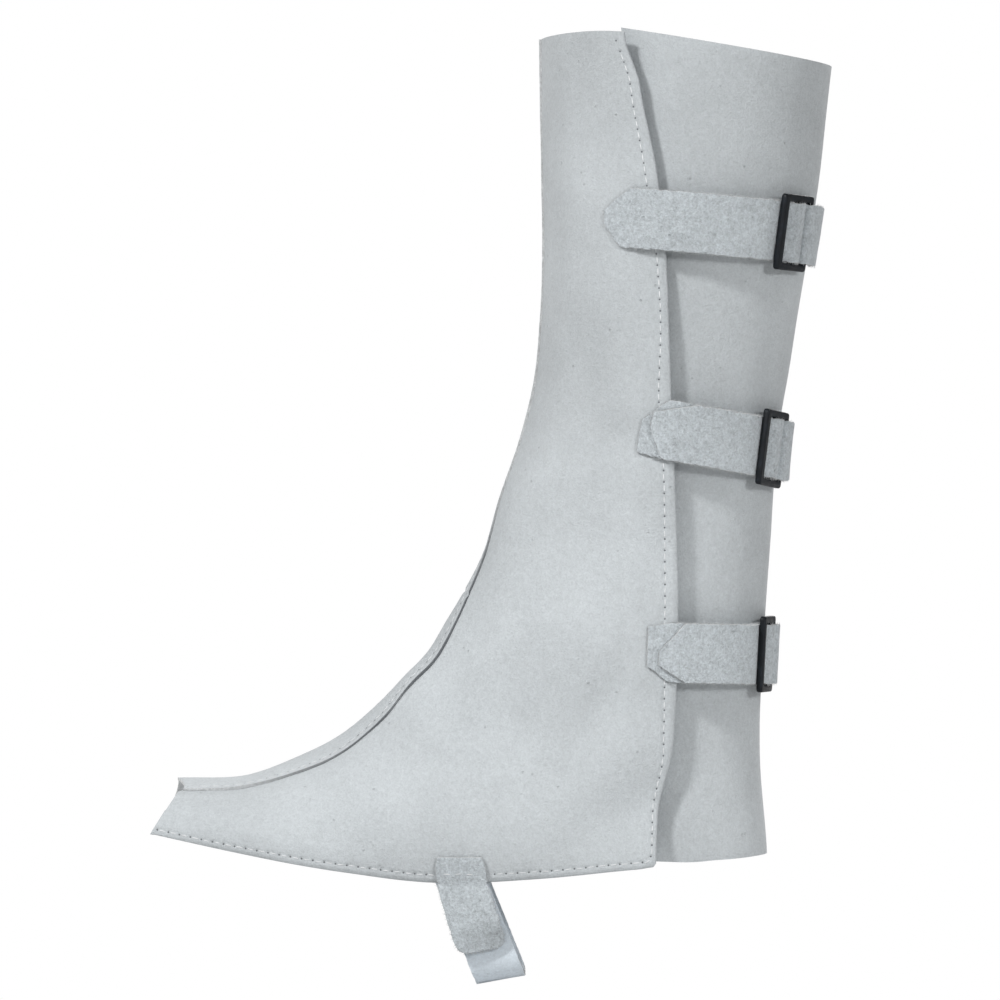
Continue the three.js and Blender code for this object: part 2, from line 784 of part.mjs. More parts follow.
// Short tab over the outer hem, hanging in front of the strap under the foot
function hemTab() {
  const rows = [];
  const riseSteps = 3;
  for (let step = riseSteps; step >= 0; step -= 1) {
    const rise = (hemTabRise * step) / riseSteps;
    const y = tabY - rise * Math.tan(hemTabLean * degrees);
    const row = rowAcross(-halfStirrup, halfStirrup, (side) => {
      const z = hemPoint.z + rise;
      const found = locate(y + side, z);
      const x = formPoint(found.place, found.angle).x + standoffAt(found.place, found.angle);
      return vector(x + strapSeat, y + side, z);
    });
    rows.push(row);
  }
  const hemRow = rows.at(-1);
  const dropSteps = 7;
  for (let step = 1; step <= dropSteps; step += 1) {
    const share = step / dropSteps;
    const drop = hemTabDrop * share;
    const out = tabEndFlare * share * share;
    const narrow = step < dropSteps ? 1 : 0.7;
    const level = smooth(share * 4);
    const row = rowAcross(-halfStirrup * narrow, halfStirrup * narrow, (side) => {
      const hem = hemRow[Math.round((side / (halfStirrup * narrow) + 1) * 0.5 * strapColumns)];
      const turn = roll * level;
      const x = THREE.MathUtils.lerp(hem.x, hemPoint.x + strapSeat, level) + out;
      const y = tabY + drop * Math.tan(hemTabTilt * degrees) + side * Math.cos(turn);
      return vector(x, y, hemPoint.z - drop + side * Math.sin(turn));
    });
    rows.push(row);
  }
  return band(rows, strapLeather);
}

// Strap under the foot, tucked inside both hems, in a plane that leans back as it goes down
function footStrap() {
  const reach = hemPoint.x - strapSeat;
  const down = vector(0, Math.sin(downTilt), -Math.cos(downTilt));
  const drop = (stirrupDrop + hemPoint.z - strapLeather / 2) / Math.cos(downTilt);
  const sideRows = (sign) => {
    const straight = [-stirrupTuck, 0, (drop - stirrupCorner) / 2, drop - stirrupCorner];
    const side = sign > 0 ? reach - hemTurn : -reach;
    const list = straight.map((depth) => [side, depth]);
    for (let step = 1; step <= cornerSteps; step += 1) {
      const angle = (step / cornerSteps) * (Math.PI / 2);
      const x = side - sign * stirrupCorner * (1 - Math.cos(angle));
      list.push([x, drop - stirrupCorner * (1 - Math.sin(angle))]);
    }
    return list;
  };
  const route = [...sideRows(1), [0, drop], ...sideRows(-1).reverse()];
  const rows = route.map(([x, depth]) => {
    const middle = vector(x, tabY, hemPoint.z).addScaledVector(down, depth);
    const pointAt = (side) => middle.clone().addScaledVector(stirrupAcross, side);
    return rowAcross(-halfStirrup, halfStirrup, pointAt);
  });
  return band(rows, strapLeather);
}

addMesh("foot_strap_tab", hemTab(), strapSuede);
addMesh("foot_strap", footStrap(), strapSuede);

export default group;
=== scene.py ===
import math
import random

import bmesh
import bpy
from mathutils import Matrix, Vector, kdtree, noise

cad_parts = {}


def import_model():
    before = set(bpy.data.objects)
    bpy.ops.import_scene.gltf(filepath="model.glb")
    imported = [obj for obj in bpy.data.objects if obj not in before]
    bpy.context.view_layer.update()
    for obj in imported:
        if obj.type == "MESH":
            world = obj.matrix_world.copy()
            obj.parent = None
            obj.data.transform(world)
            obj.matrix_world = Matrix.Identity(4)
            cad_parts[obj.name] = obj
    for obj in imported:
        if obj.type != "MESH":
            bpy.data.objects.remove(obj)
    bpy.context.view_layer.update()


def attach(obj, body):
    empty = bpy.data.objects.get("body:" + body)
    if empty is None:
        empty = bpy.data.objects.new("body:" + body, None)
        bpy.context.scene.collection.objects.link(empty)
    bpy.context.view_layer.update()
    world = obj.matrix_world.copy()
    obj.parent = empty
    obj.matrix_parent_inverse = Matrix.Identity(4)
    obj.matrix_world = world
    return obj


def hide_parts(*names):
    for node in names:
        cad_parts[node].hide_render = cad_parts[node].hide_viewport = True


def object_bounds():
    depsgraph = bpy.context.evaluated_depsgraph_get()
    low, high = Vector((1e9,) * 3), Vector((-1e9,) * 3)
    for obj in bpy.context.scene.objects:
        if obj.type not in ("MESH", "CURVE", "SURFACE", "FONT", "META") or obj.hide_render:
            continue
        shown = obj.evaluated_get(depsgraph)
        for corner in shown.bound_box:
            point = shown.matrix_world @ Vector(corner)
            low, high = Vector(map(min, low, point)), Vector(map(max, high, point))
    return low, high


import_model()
mm = 0.001
random.seed(11)


form = {
    "height": 0.36,
    "toeReach": 0.206,
    "calfReach": 0.082,
    "width": 0.112,
    "foldDepth": 0.0065,
    "standoff": 0.005,
    "standoffStart": 0.55,
    "topRise": 0.0042,
    "finestStep": 200,  # steps per section of the smoothed table
}

sections = {  # slices from the toe to the top
    "at": list(range(17)),
    "frontY": [
        -0.934, -0.815, -0.701, -0.619, -0.541, -0.484, -0.436, -0.399, -0.36,
        -0.319, -0.281, -0.243, -0.213, -0.2, -0.194, -0.198, -0.202,
    ],
    "frontZ": [
        0.119, 0.122, 0.145, 0.169, 0.206, 0.24, 0.268, 0.302, 0.341,
        0.388, 0.455, 0.517, 0.584, 0.655, 0.744, 0.868, 0.992,
    ],
    "backY": [
        -1.056, -0.891, -0.718, -0.493, -0.26, -0.029, 0.529, 0.632, 0.648,
        0.612, 0.627, 0.669, 0.705, 0.772, 0.845, 0.928, 0.985,
    ],
    "backZ": [
        0.013, -0.011, -0.051, -0.077, -0.097, -0.093, -0.077, -0.026, 0.032,
        0.151, 0.277, 0.401, 0.519, 0.617, 0.718, 0.838, 0.96,
    ],
    "half": [
        0.66, 0.74, 0.79, 0.81, 0.82, 0.82, 0.82, 0.81, 0.81,
        0.81, 0.83, 0.86, 0.89, 0.93, 0.96, 0.98, 1,
    ],
    "power": [1.1, 1.15, 1.2, 1.2, 1.2, 1.15, 1.1, 1.05, 1, 1, 1, 1, 1, 1, 1, 1, 1],
    "seam": [39, 36, 35, 31, 26, 20, 18, 17, 14, 10, 4, 2, 2, 2, 2, 2, 2],  # degrees from the ridge
    "flare": [0, 0, 0, 0, 0.05, 0.2, 0.8, 0.8, 0.7, 0.52, 0.48, 0.6, 0.5, 0.64, 0.24, 0.5, 1],
}
lastSection = 16
firstFullSection = 8

hemEdge = {  # bottom edge from the toe to the heel
    "at": [-1, -0.815, -0.609, -0.423, -0.206, 0.073, 0.415, 0.648],
    "height": [0.056, 0.033, 0.012, 0, 0.005, 0.021, 0.024, 0.032],
}
rearEdge = {  # rear edge of the outer panel by height
    "at": [0.021, 0.094, 0.159, 0.31, 0.436, 0.606, 0.733, 0.833, 0.908, 0.992],
    "y": [0.073, 0.098, 0.156, 0.187, 0.176, 0.15, 0.13, 0.083, 0.016, -0.037],
}
flapEdge = {  # free edge of the inner panel, under the outer one
    "at": [8, 9, 10, 11, 12, 13, 14, 15, 16],
    "y": [-0.016, 0, 0, 0, 0, 0, -0.008, -0.022, -0.052],
    "z": [0.025, 0.198, 0.331, 0.451, 0.555, 0.641, 0.736, 0.859, 1],
}
folds = [  # centre y and z, half length and half width, turn in degrees, depth
    (-0.113, 0.407, 0.085, 0.032, 40, -0.6),
    (-0.085, 0.275, 0.065, 0.05, 0, 0.6),
    (-0.015, 0.085, 0.075, 0.045, 36, -0.9),
    (-0.36, 0.224, 0.05, 0.022, 50, -0.5),
    (-0.025, 0.52, 0.03, 0.03, 0, -0.45),
    (-0.066, 0.385, 0.05, 0.022, 60, -0.34),
    (-0.151, 0.26, 0.07, 0.026, 72, -0.42),
    (-0.21, 0.2, 0.06, 0.03, 50, 0.25),
    (-0.045, 0.21, 0.07, 0.02, 65, -0.25),
    (-0.05, 0.7, 0.09, 0.03, 80, 0.25),
]


def along(share):
    return share * (form["toeReach"] if share < 0 else form["calfReach"])


def clamp(value, low=0.0, high=1.0):
    return min(max(value, low), high)


def smooth(value):
    t = clamp(value)
    return t * t * (3 - 2 * t)


def lerp(a, b, t):
    return a + (b - a) * t


def valueAt(table, column, at):  # smooth value of one column of a table
    places, values = table["at"], table[column]
    last = len(places) - 1
    row = 0
    while row < last - 1 and at > places[row + 1]:
        row += 1

    def slope(i):
        low, high = max(i - 1, 0), min(i + 1, last)
        return (values[high] - values[low]) / (places[high] - places[low])

    span = places[row + 1] - places[row]
    t = clamp((at - places[row]) / span)
    leave = span * slope(row) * t * (1 - t) ** 2
    arrive = span * slope(row + 1) * t * t * (t - 1)
    return lerp(values[row], values[row + 1], t * t * (3 - 2 * t)) + leave + arrive


def fineSection(place):
    half = valueAt(sections, "half", place) * form["width"] / 2
    return (
        along(valueAt(sections, "frontY", place)),
        valueAt(sections, "frontZ", place) * form["height"],
        along(valueAt(sections, "backY", place)),
        valueAt(sections, "backZ", place) * form["height"],
        half,
        valueAt(sections, "power", place),
        math.radians(valueAt(sections, "seam", place)),
        valueAt(sections, "flare", place) * form["standoff"],
    )


fineTable = [
    fineSection(i / form["finestStep"]) for i in range(lastSection * form["finestStep"] + 1)
]


def sectionAt(place):
    at = clamp(place, 0, lastSection) * form["finestStep"]
    i = min(int(at), len(fineTable) - 2)
    t = at - i
    return [a + (b - a) * t for a, b in zip(fineTable[i], fineTable[i + 1])]


def crossing(test, low, high, steps=30):  # where a falling function passes zero
    for _ in range(steps):
        middle = (low + high) / 2
        if test(middle) > 0:
            low = middle
        else:
            high = middle
    return (low + high) / 2


def reliefAt(y, z):
    relief = 0
    for foldY, foldZ, long, wide, turn, depth in folds:
        dy = y / form["height"] - foldY
        dz = z / form["height"] - foldZ
        c, s = math.cos(math.radians(turn)), math.sin(math.radians(turn))
        far = (dy * c + dz * s) / long
        near = (dz * c - dy * s) / wide
        relief += depth * form["foldDepth"] * math.exp(-(far * far + near * near))
    return relief


def sideView(section, share):  # y and z some way from the ridge to the back of a section
    return lerp(section[0], section[2], share), lerp(section[1], section[3], share)


def formPoint(place, angle):  # angle 0 is the ridge, 90 degrees the outer side, 180 the back
    section = sectionAt(place)
    half, power = section[4:6]
    y, z = sideView(section, (1 - math.cos(angle)) / 2)
    turn = math.sin(angle)
    side = math.copysign(abs(turn) ** power * half, turn)
    relief = reliefAt(y, z) * turn * turn if turn > 0 else 0
    return Vector((side + relief, y, z))


def formNormal(place, angle):
    step = 0.02
    up = formPoint(min(place + step, lastSection), angle) - formPoint(max(place - step, 0), angle)
    across = formPoint(place, angle + step) - formPoint(place, angle - step)
    return across.cross(up).normalized()


def locate(y, z):  # section and angle of a point of the side view
    def above(place):
        frontY, frontZ, backY, backZ = sectionAt(place)[:4]
        return (backY - frontY) * (z - frontZ) - (backZ - frontZ) * (y - frontY)

    place = crossing(above, 0, lastSection)
    frontY, frontZ, backY, backZ = sectionAt(place)[:4]
    reach = math.hypot(y - frontY, z - frontZ) / math.hypot(backY - frontY, backZ - frontZ)
    return place, math.acos(1 - 2 * clamp(reach))


def hemHeight(y):
    share = y / (form["toeReach"] if y < 0 else form["calfReach"])
    return valueAt(hemEdge, "height", share) * form["height"]


def rearLine(z):
    return along(valueAt(rearEdge, "y", z / form["height"]))


endCache = {}


def endAngle(place, hasRearEdge):  # where a section meets the hem or the rear edge
    key = (round(place, 6), hasRearEdge)
    if key not in endCache:
        section = sectionAt(place)

        def inside(across):
            y, z = sideView(section, across)
            aboveHem = z - hemHeight(y)
            return min(aboveHem, rearLine(z) - y) if hasRearEdge else aboveHem

        across = 1 if inside(1) > 0 else crossing(inside, 0.3, 1)
        endCache[key] = math.acos(1 - 2 * across)
    return endCache[key]


def rowPlace(share):  # rows are crowded where they begin to reach round the back
    place = share * lastSection
    before = firstFullSection - place
    return firstFullSection - before * before if 0 < before < 1 else place


def standoffAt(place, angle):
    free = endAngle(place, True)
    start = free * form["standoffStart"]
    return sectionAt(place)[7] * smooth((angle - start) / (free - start))


lumps = {"dents": (21, 47), "grain": (160, 390)}  # noise scales per metre


def unevenness(point, coarse, fine):  # slow dents and small lumps of the hide
    broad, small = (point * scale for scale in lumps["dents"])
    slow = noise.noise(broad) + 0.5 * noise.noise(small + Vector((3, 1, 7)))
    broad, small = (point * scale for scale in lumps["grain"])
    quick = noise.noise(broad) + 0.6 * noise.noise(small)
    return coarse * slow + fine * quick


def paceAt(place, angle, step=0.03):
    return (formPoint(place, angle) - formPoint(place, angle - step)).length / step


def gridMesh(columns, rows, pointAt, keep=None):
    bm = bmesh.new()
    bm.loops.layers.uv.new("flat")
    bmesh.ops.create_grid(bm, x_segments=columns, y_segments=rows, size=0.5, calc_uvs=True)
    if keep:
        gone = [f for f in bm.faces if not keep(f.calc_center_median() + Vector((0.5, 0.5, 0)))]
        bmesh.ops.delete(bm, geom=gone, context="FACES")
    for v in bm.verts:
        v.co = pointAt(clamp(v.co.x + 0.5), clamp(v.co.y + 0.5))
    return bm


def assign(thing, **settings):
    for key, value in settings.items():
        setattr(thing, key, value)


def addPiece(name, bm, materials, smoothShade=True):
    mesh = bpy.data.meshes.new(name)
    bm.to_mesh(mesh)
    bm.free()
    for polygon in mesh.polygons:
        polygon.use_smooth = smoothShade
    for material in materials:
        mesh.materials.append(material)
    piece = bpy.data.objects.new(name, mesh)
    bpy.context.scene.collection.objects.link(piece)
    return piece


def thicken(piece, thickness, edgeRound):  # second material inside, third on the cut edges
    assign(
        piece.modifiers.new("wall", "SOLIDIFY"), thickness=thickness, offset=0,
        use_even_offset=True, thickness_clamp=0.6, material_offset=1, material_offset_rim=2,
    )
    assign(
        piece.modifiers.new("edge", "BEVEL"), width=edgeRound, segments=3, limit_method="ANGLE",
        angle_limit=math.radians(50), harden_normals=False,
    )


def finishPiece(piece, slot, *nodes):
    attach(piece, "root")
    if nodes:
        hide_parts(*nodes)
    print("made", piece.name, len(piece.data.polygons), "faces")


def runningLengths(points):
    lengths = [0]
    for a, b in zip(points, points[1:]):
        lengths.append(lengths[-1] + (b - a).length)
    return lengths


def evenSteps(lengths, count):  # stretch and share of each even step along a line
    at = 0
    for i in range(count + 1):
        target = lengths[-1] * i / count
        while at < len(lengths) - 2 and lengths[at + 1] < target:
            at += 1
        span = lengths[at + 1] - lengths[at]
        yield at, (target - lengths[at]) / span if span else 0


def breakRow(row, count):  # points of a polyline at even steps, and its length
    lengths = runningLengths(row)
    return [row[i].lerp(row[i + 1], t) for i, t in evenSteps(lengths, count)], lengths[-1]


colours = {
    "panel": (0.535, 0.567, 0.585),
    "lining": (0.50, 0.52, 0.53),
    "strap": (0.54, 0.583, 0.610),
    # brightened above the strap's colour as painted light, for the strap that hangs in shade under
    # the foot
    "foot": (0.72, 0.79, 0.85),
    "rawEdge": (0.60, 0.615, 0.62),
    "thread": (0.83, 0.84, 0.85),
    # painted shade inside the needle holes
    "hole": (0.13, 0.14, 0.15),
    # painted shadow in the crease along the strip's lapped edge
    "creaseShadow": (0.15, 0.16, 0.17),
    "slide": (0.0045, 0.0065, 0.009),
}


def rgba(colour, gain=1.0):
    return (*[c * gain for c in colour], 1)


def feed(node, inputs):  # each input takes a value or another node's output
    for key, value in inputs.items():
        if isinstance(value, bpy.types.NodeSocket):
            value.id_data.links.new(value, node.inputs[key])
        else:
            node.inputs[key].default_value = value


def addNode(tree, kind, inputs=None, **settings):
    node = tree.nodes.new(kind)
    assign(node, **settings)
    feed(node, inputs or {})
    return node


def treeOf(*values):
    return next(v for v in values if isinstance(v, bpy.types.NodeSocket)).id_data


def mathNode(operation, *values):
    inputs = dict(enumerate(values))
    return addNode(treeOf(*values), "ShaderNodeMath", inputs, operation=operation).outputs[0]


def plus(a, b):
    return mathNode("ADD", a, b)


def minus(a, b):
    return mathNode("SUBTRACT", a, b)


def times(a, b):
    return mathNode("MULTIPLY", a, b)


def mixColour(amount, a, b, blend="MIX"):
    inputs, tree = {0: amount, 6: a, 7: b}, treeOf(amount, a, b)
    return addNode(tree, "ShaderNodeMix", inputs, data_type="RGBA", blend_type=blend).outputs[2]


def ramp(value, low, high, start=0.0, end=1.0):
    inputs = {"Value": value, "From Min": low, "From Max": high, "To Min": start, "To Max": end}
    node = addNode(value.id_data, "ShaderNodeMapRange", inputs, interpolation_type="SMOOTHSTEP")
    return node.outputs["Result"]


def noiseNode(vector, scale, detail, rough):
    inputs = {"Vector": vector, "Scale": scale, "Detail": detail, "Roughness": rough}
    return addNode(vector.id_data, "ShaderNodeTexNoise", inputs).outputs["Fac"]


def addBump(height, distance, more=None, invert=False):
    inputs = {"Height": height, "Distance": distance, **(more or {})}
    return addNode(height.id_data, "ShaderNodeBump", inputs, invert=invert).outputs[0]


def newGroup(name, inputs, outputs):
    tree = bpy.data.node_groups.new(name, "ShaderNodeTree")
    for label, kind, value in inputs:
        socket = tree.interface.new_socket(name=label, in_out="INPUT", socket_type=kind)
        if value is not None:
            socket.default_value = value
    for label, kind in outputs:
        tree.interface.new_socket(name=label, in_out="OUTPUT", socket_type=kind)
    return tree, tree.nodes.new("NodeGroupInput").outputs, tree.nodes.new("NodeGroupOutput")


napNoise = {  # scale, detail and roughness
    "broad": (19, 2, 0.5),
    "patch": (95, 3, 0.6),
    "clump": (480, 2, 0.6),
    "fibre": (1150, 3, 0.7),
    "fuzz": (2600, 2, 0.6),
    "pitted": (140, 2, 0.5),
}


def napGroup():  # short nap of split suede: mottling, clumps, fine fibres and small pits
    number = "NodeSocketFloat"
    tree, take, give = newGroup(
        "suedeNap",
        [
            ("Vector", "NodeSocketVector", None),
            ("Colour", "NodeSocketColor", (0.5, 0.5, 0.5, 1)),
            ("Mottling", number, 0.1),
            ("Grain", number, 0.1),
            ("Pits", number, 0.3),
            ("Fineness", number, 1.0),
        ],
        [("Colour", "NodeSocketColor"), ("Height", number), ("Roughness", number)],
    )
    vector = take["Vector"]
    inputs = {0: vector, "Scale": take["Fineness"]}
    sized = addNode(tree, "ShaderNodeVectorMath", inputs, operation="SCALE").outputs[0]
    broad, patch, pitted = (noiseNode(vector, *napNoise[k]) for k in ("broad", "patch", "pitted"))
    clump, fibre, fuzz = (noiseNode(sized, *napNoise[k]) for k in ("clump", "fibre", "fuzz"))
    inputs = {"Vector": vector, "Scale": 230, "Randomness": 1}
    cells = addNode(tree, "ShaderNodeTexVoronoi", inputs, feature="F1")
    pitShape = ramp(cells.outputs["Distance"], 0.05, 0.17, 1, 0)
    pit = times(times(pitShape, ramp(pitted, 0.56, 0.66)), take["Pits"])

    mottle = plus(times(broad, 0.8), times(patch, 0.2))
    grain = plus(times(clump, 0.35), times(fibre, 0.65))
    mottleTone = times(minus(mottle, 0.5), take["Mottling"])
    tone = plus(mottleTone, times(minus(grain, 0.5), take["Grain"]))
    # painted shade: the pits are darkened in colour, as well as dented in the height below
    tone = minus(plus(tone, 1.0), times(pit, 0.5))
    grey = addNode(tree, "ShaderNodeCombineColor", {0: tone, 1: tone, 2: tone}).outputs[0]
    height = plus(plus(times(grain, 0.75), times(fuzz, 0.25)), times(patch, 0.55))
    feed(give, {
        "Colour": mixColour(1.0, take["Colour"], grey, "MULTIPLY"),
        "Height": minus(height, pit),
        "Roughness": ramp(grain, 0.3, 0.7, 0.98, 0.86),
    })
    return tree


def holeGroup():  # sizes in millimetres
    number = "NodeSocketFloat"
    tree, take, give = newGroup(
        "needleHoles",
        [("Vector", "NodeSocketVector", None), ("Pitch", number, 4.8), ("Hole", number, 0.36)],
        [("Mask", number), ("Height", number)],
    )
    parts = addNode(tree, "ShaderNodeSeparateXYZ", {0: take["Vector"]}).outputs
    along, across = times(minus(mathNode("FRACT", parts[0]), 0.5), take["Pitch"]), parts[1]
    distance = mathNode("SQRT", plus(times(along, along), times(across, across)))
    ratio = mathNode("DIVIDE", distance, take["Hole"])
    dent = ramp(ratio, 0.4, 3.2, 1, 0)
    groove = ramp(mathNode("ABSOLUTE", across), 0.2, 1.9, 1, 0)
    height = plus(times(dent, 0.6), times(groove, 0.4))
    feed(give, {"Mask": ramp(ratio, 0.75, 1.35, 1, 0), "Height": height})
    return tree


suedeNap = napGroup()
needleHoles = holeGroup()

sheen = {"Sheen Weight": 0.22, "Sheen Roughness": 0.6, "Specular IOR Level": 0.18}
shade = {
    "upward": (0.06, 0.3),  # heights between which painted shade darkens the hide towards the top
    "paintedTopShade": (0.88, 0.88, 0.88),
    "creaseShadowAt": 3.3,  # millimetres from the strip's stitches where the painted crease shadow begins
    "creaseShadowSoft": 0.6,
    "instep": (0.14, 0.17),  # the painted crease shadow fades out between these heights
}


def newMaterial(name, inputs):
    material = bpy.data.materials.new(name)
    material.use_nodes = True
    tree = material.node_tree
    shader = tree.nodes["Principled BSDF"]
    feed(shader, inputs)
    return material, tree, shader


def objectPlace(tree):
    return addNode(tree, "ShaderNodeTexCoord").outputs["Object"]


def suedeMaterial(name, colour, nap, depth, holes=False, creaseShadowed=False):
    material, tree, shader = newMaterial(name, sheen)
    place = objectPlace(tree)
    inputs = {"Vector": place, "Colour": rgba(colours[colour]), **nap}
    hide = addNode(tree, "ShaderNodeGroup", inputs, node_tree=suedeNap)
    height = addNode(tree, "ShaderNodeSeparateXYZ", {0: place}).outputs["Z"]
    # painted shade: the hide's colour is multiplied darker above these heights
    topShade = rgba(shade["paintedTopShade"])
    tone = mixColour(ramp(height, *shade["upward"]), hide.outputs["Colour"], topShade, "MULTIPLY")
    under = {}
    if holes:
        row = addNode(tree, "ShaderNodeUVMap", uv_map="stitchRow").outputs[0]
        hole = addNode(tree, "ShaderNodeGroup", {"Vector": row}, node_tree=needleHoles)
        # painted shade: the needle holes are darkened in colour, besides their bump
        tone = mixColour(hole.outputs["Mask"], tone, rgba(colours["hole"]))
        under = {"Normal": addBump(hole.outputs["Height"], 0.45 * mm, {"Strength": 0.8}, True)}
    # painted shadow: a dark band from the strip's edge onto the crease below it, fading out above
    # the instep heights
    if creaseShadowed:
        side = addNode(tree, "ShaderNodeSeparateXYZ", {0: row}).outputs["Y"]
        creaseShadow = ramp(side, shade["creaseShadowAt"], shade["creaseShadowAt"] + shade["creaseShadowSoft"])
        creaseShadow = times(creaseShadow, ramp(height, *shade["instep"], 1, 0))
        tone = mixColour(creaseShadow, tone, rgba(colours["creaseShadow"]))
    feed(shader, {
        "Base Color": tone,
        "Roughness": hide.outputs["Roughness"],
        "Normal": addBump(hide.outputs["Height"], depth, under),
    })
    return material


def napOf(mottling, grain, pits, fineness):
    return {"Mottling": mottling, "Grain": grain, "Pits": pits, "Fineness": fineness}


panelNap, edgeNap = napOf(0.5, 0.7, 0.4, 1.0), napOf(0.3, 1.4, 0.0, 0.6)
panelSuede = suedeMaterial("panelSuede", "panel", panelNap, 0.75 * mm, holes=True)
stripSuede = suedeMaterial("stripSuede", "panel", panelNap, 0.75 * mm, holes=True, creaseShadowed=True)
stripEdge = suedeMaterial("stripEdge", "rawEdge", edgeNap, 0.9 * mm, holes=True, creaseShadowed=True)
liningSuede = suedeMaterial("liningSuede", "lining", napOf(0.4, 0.8, 0.5, 0.7), 0.6 * mm)
strapSuede = suedeMaterial("strapSuede", "strap", napOf(0.4, 1.8, 0.4, 0.95), 1.5 * mm)
# painted light: a brightened copy of the strap suede for the strap under the foot, which hangs in
# shade
brightenedFootSuede = suedeMaterial("brightenedFootSuede", "foot", napOf(0.3, 0.6, 0.3, 0.9), 0.4 * mm)
rawEdge = suedeMaterial("rawEdge", "rawEdge", edgeNap, 0.9 * mm)


def threadMaterial():
    inputs = {"Sheen Weight": 0.3, "Specular IOR Level": 0.3}
    material, tree, shader = newMaterial("paleThread", inputs)
    strands = noiseNode(objectPlace(tree), 2200, 2, 0.6)
    feed(shader, {
        "Base Color": mixColour(strands, *(rgba(colours["thread"], gain) for gain in (0.8, 1.08))),
        "Roughness": ramp(strands, 0.3, 0.7, 0.75, 0.55),
        "Normal": addBump(strands, 0.08 * mm),
    })
    return material


def slideMaterial():  # black enamel, a little uneven, rubbed to a softer shine here and there
    material, tree, shader = newMaterial("blackEnamel", {"Specular IOR Level": 0.22})
    rub = noiseNode(objectPlace(tree), 240, 3, 0.6)
    orangePeel = noiseNode(objectPlace(tree), 1300, 2, 0.5)
    plain, rubbed = rgba(colours["slide"]), rgba(colours["slide"], 2.2)
    feed(shader, {
        "Base Color": mixColour(ramp(rub, 0.45, 0.75), plain, rubbed),
        "Roughness": ramp(rub, 0.3, 0.7, 0.38, 0.55),
        "Normal": addBump(orangePeel, 0.1 * mm, {"Strength": 0.35}),
    })
    return material


paleThread = threadMaterial()
blackEnamel = slideMaterial()
print("materials ready")


def leatherPiece(name, bm, materials, leather, edgeRound, slot, node):
    piece = addPiece(name, bm, materials)
    thicken(piece, leather, edgeRound)
    finishPiece(piece, slot, node)


panel = {
    "leather": 1.4 * mm,
    "hemBend": 0.8 * mm,
    "hemWidth": 12 * mm,
    "hemInside": 9 * mm,
    "underlap": 5 * mm,
    "underlapSink": 1.75 * mm,
    "bodyColumns": 78,
    "hemColumns": 12,
    "bendColumns": 8,
    "insideColumns": 7,
    "rows": 230,
    "coarse": 0.36 * mm,
    "fine": 0.035 * mm,
    "edgeRound": 0.35 * mm,
}
innerSide = {
    "leather": 1.5 * mm,
    "wrapColumns": 110,
    "flapColumns": 30,
    "rows": 208,
    "lapLift": 0.8 * mm,
    "lapReach": 0.6 * mm,
    "stripReach": 4 * mm,
    "stripSlant": -0.5,
    "flapTuck": 5.2 * mm,
    "hemDip": 1.6 * mm,
}


def outerSurface(place, angle, depth=0.0):  # middle of the outer leather, or a point below it
    point = formPoint(place, angle)
    normal = formNormal(place, angle)
    end = endAngle(place, True)
    lift = standoffAt(place, angle) + 0.1 * mm
    lift += unevenness(point, panel["coarse"], panel["fine"])
    rise = form["topRise"] * smooth((place - lastSection) / 1.5 + 1) * smooth(angle / end)
    point = point + normal * (lift - depth)
    point.z += rise
    return point


def edgeSkew(place):  # sine of the angle at which a section crosses the rear edge
    step = 0.12
    low, high = max(place - step, 0), min(place + step, lastSection)
    edge = formPoint(high, endAngle(high, True)) - formPoint(low, endAngle(low, True))
    end = endAngle(place, True)
    across = formPoint(place, end) - formPoint(place, end - 0.03)
    return clamp(edge.normalized().cross(across.normalized()).length, 0.5, 1)


rowCache = {}


def outerRow(place):
    if place not in rowCache:
        end = endAngle(place, True)
        half, seam = sectionAt(place)[4], sectionAt(place)[6]
        rowCache[place] = (seam, half, end, paceAt(place, end) * edgeSkew(place))
    return rowCache[place]


def outerColumns():  # distance from the folded edge and depth under the surface, column by column
    body = [("body", i / panel["bodyColumns"]) for i in range(panel["bodyColumns"])]
    r, wall = panel["hemBend"], panel["leather"]
    turn = wall / 2 + r
    hem = []
    for i in range(panel["hemColumns"]):
        hem.append(("hem", lerp(panel["hemWidth"], turn, i / panel["hemColumns"]), 0))
    for i in range(panel["bendColumns"] + 1):
        a = math.pi * i / panel["bendColumns"]
        hem.append(("hem", turn - r * math.sin(a), r - r * math.cos(a)))
    for i in range(1, panel["insideColumns"] + 1):
        hem.append(("hem", lerp(turn, panel["hemInside"], i / panel["insideColumns"]), 2 * r))
    return body + hem


columnList = outerColumns()


def outerPoint(u, w):
    place = w * lastSection
    seam, half, end, pace = outerRow(place)
    column = columnList[round(u * (len(columnList) - 1))]
    if column[0] == "hem":
        return outerSurface(place, end - column[1] / pace, column[2])
    start = seam - panel["underlap"] / half
    angle = lerp(start, end - panel["hemWidth"] / pace, column[1])
    under = (angle - seam) * half  # metres past the seam
    sink = panel["underlapSink"] * (1 - smooth((under + 0.9 * mm) / (2.4 * mm)))
    return outerSurface(place, angle, sink)


def innerSurface(place, angle, depth=0.0):
    seam, half = sectionAt(place)[6], sectionAt(place)[4]
    point = formPoint(place, angle)
    normal = formNormal(place, angle)
    toSeam = (seam - angle) * half
    lap = innerSide["lapLift"] * (1 - smooth(toSeam / (5 * mm)))
    lift = lap + unevenness(point + Vector((0.4, 0, 0)), panel["coarse"], panel["fine"])
    ahead = innerSide["stripReach"] * smooth(1 - place)
    if angle > 0:
        ahead *= lerp(1, innerSide["stripSlant"], smooth(angle / seam))
    else:
        ahead *= smooth(1 + angle / (seam * 2))
    point = point + normal * (lift - depth)
    point.y -= ahead
    return point


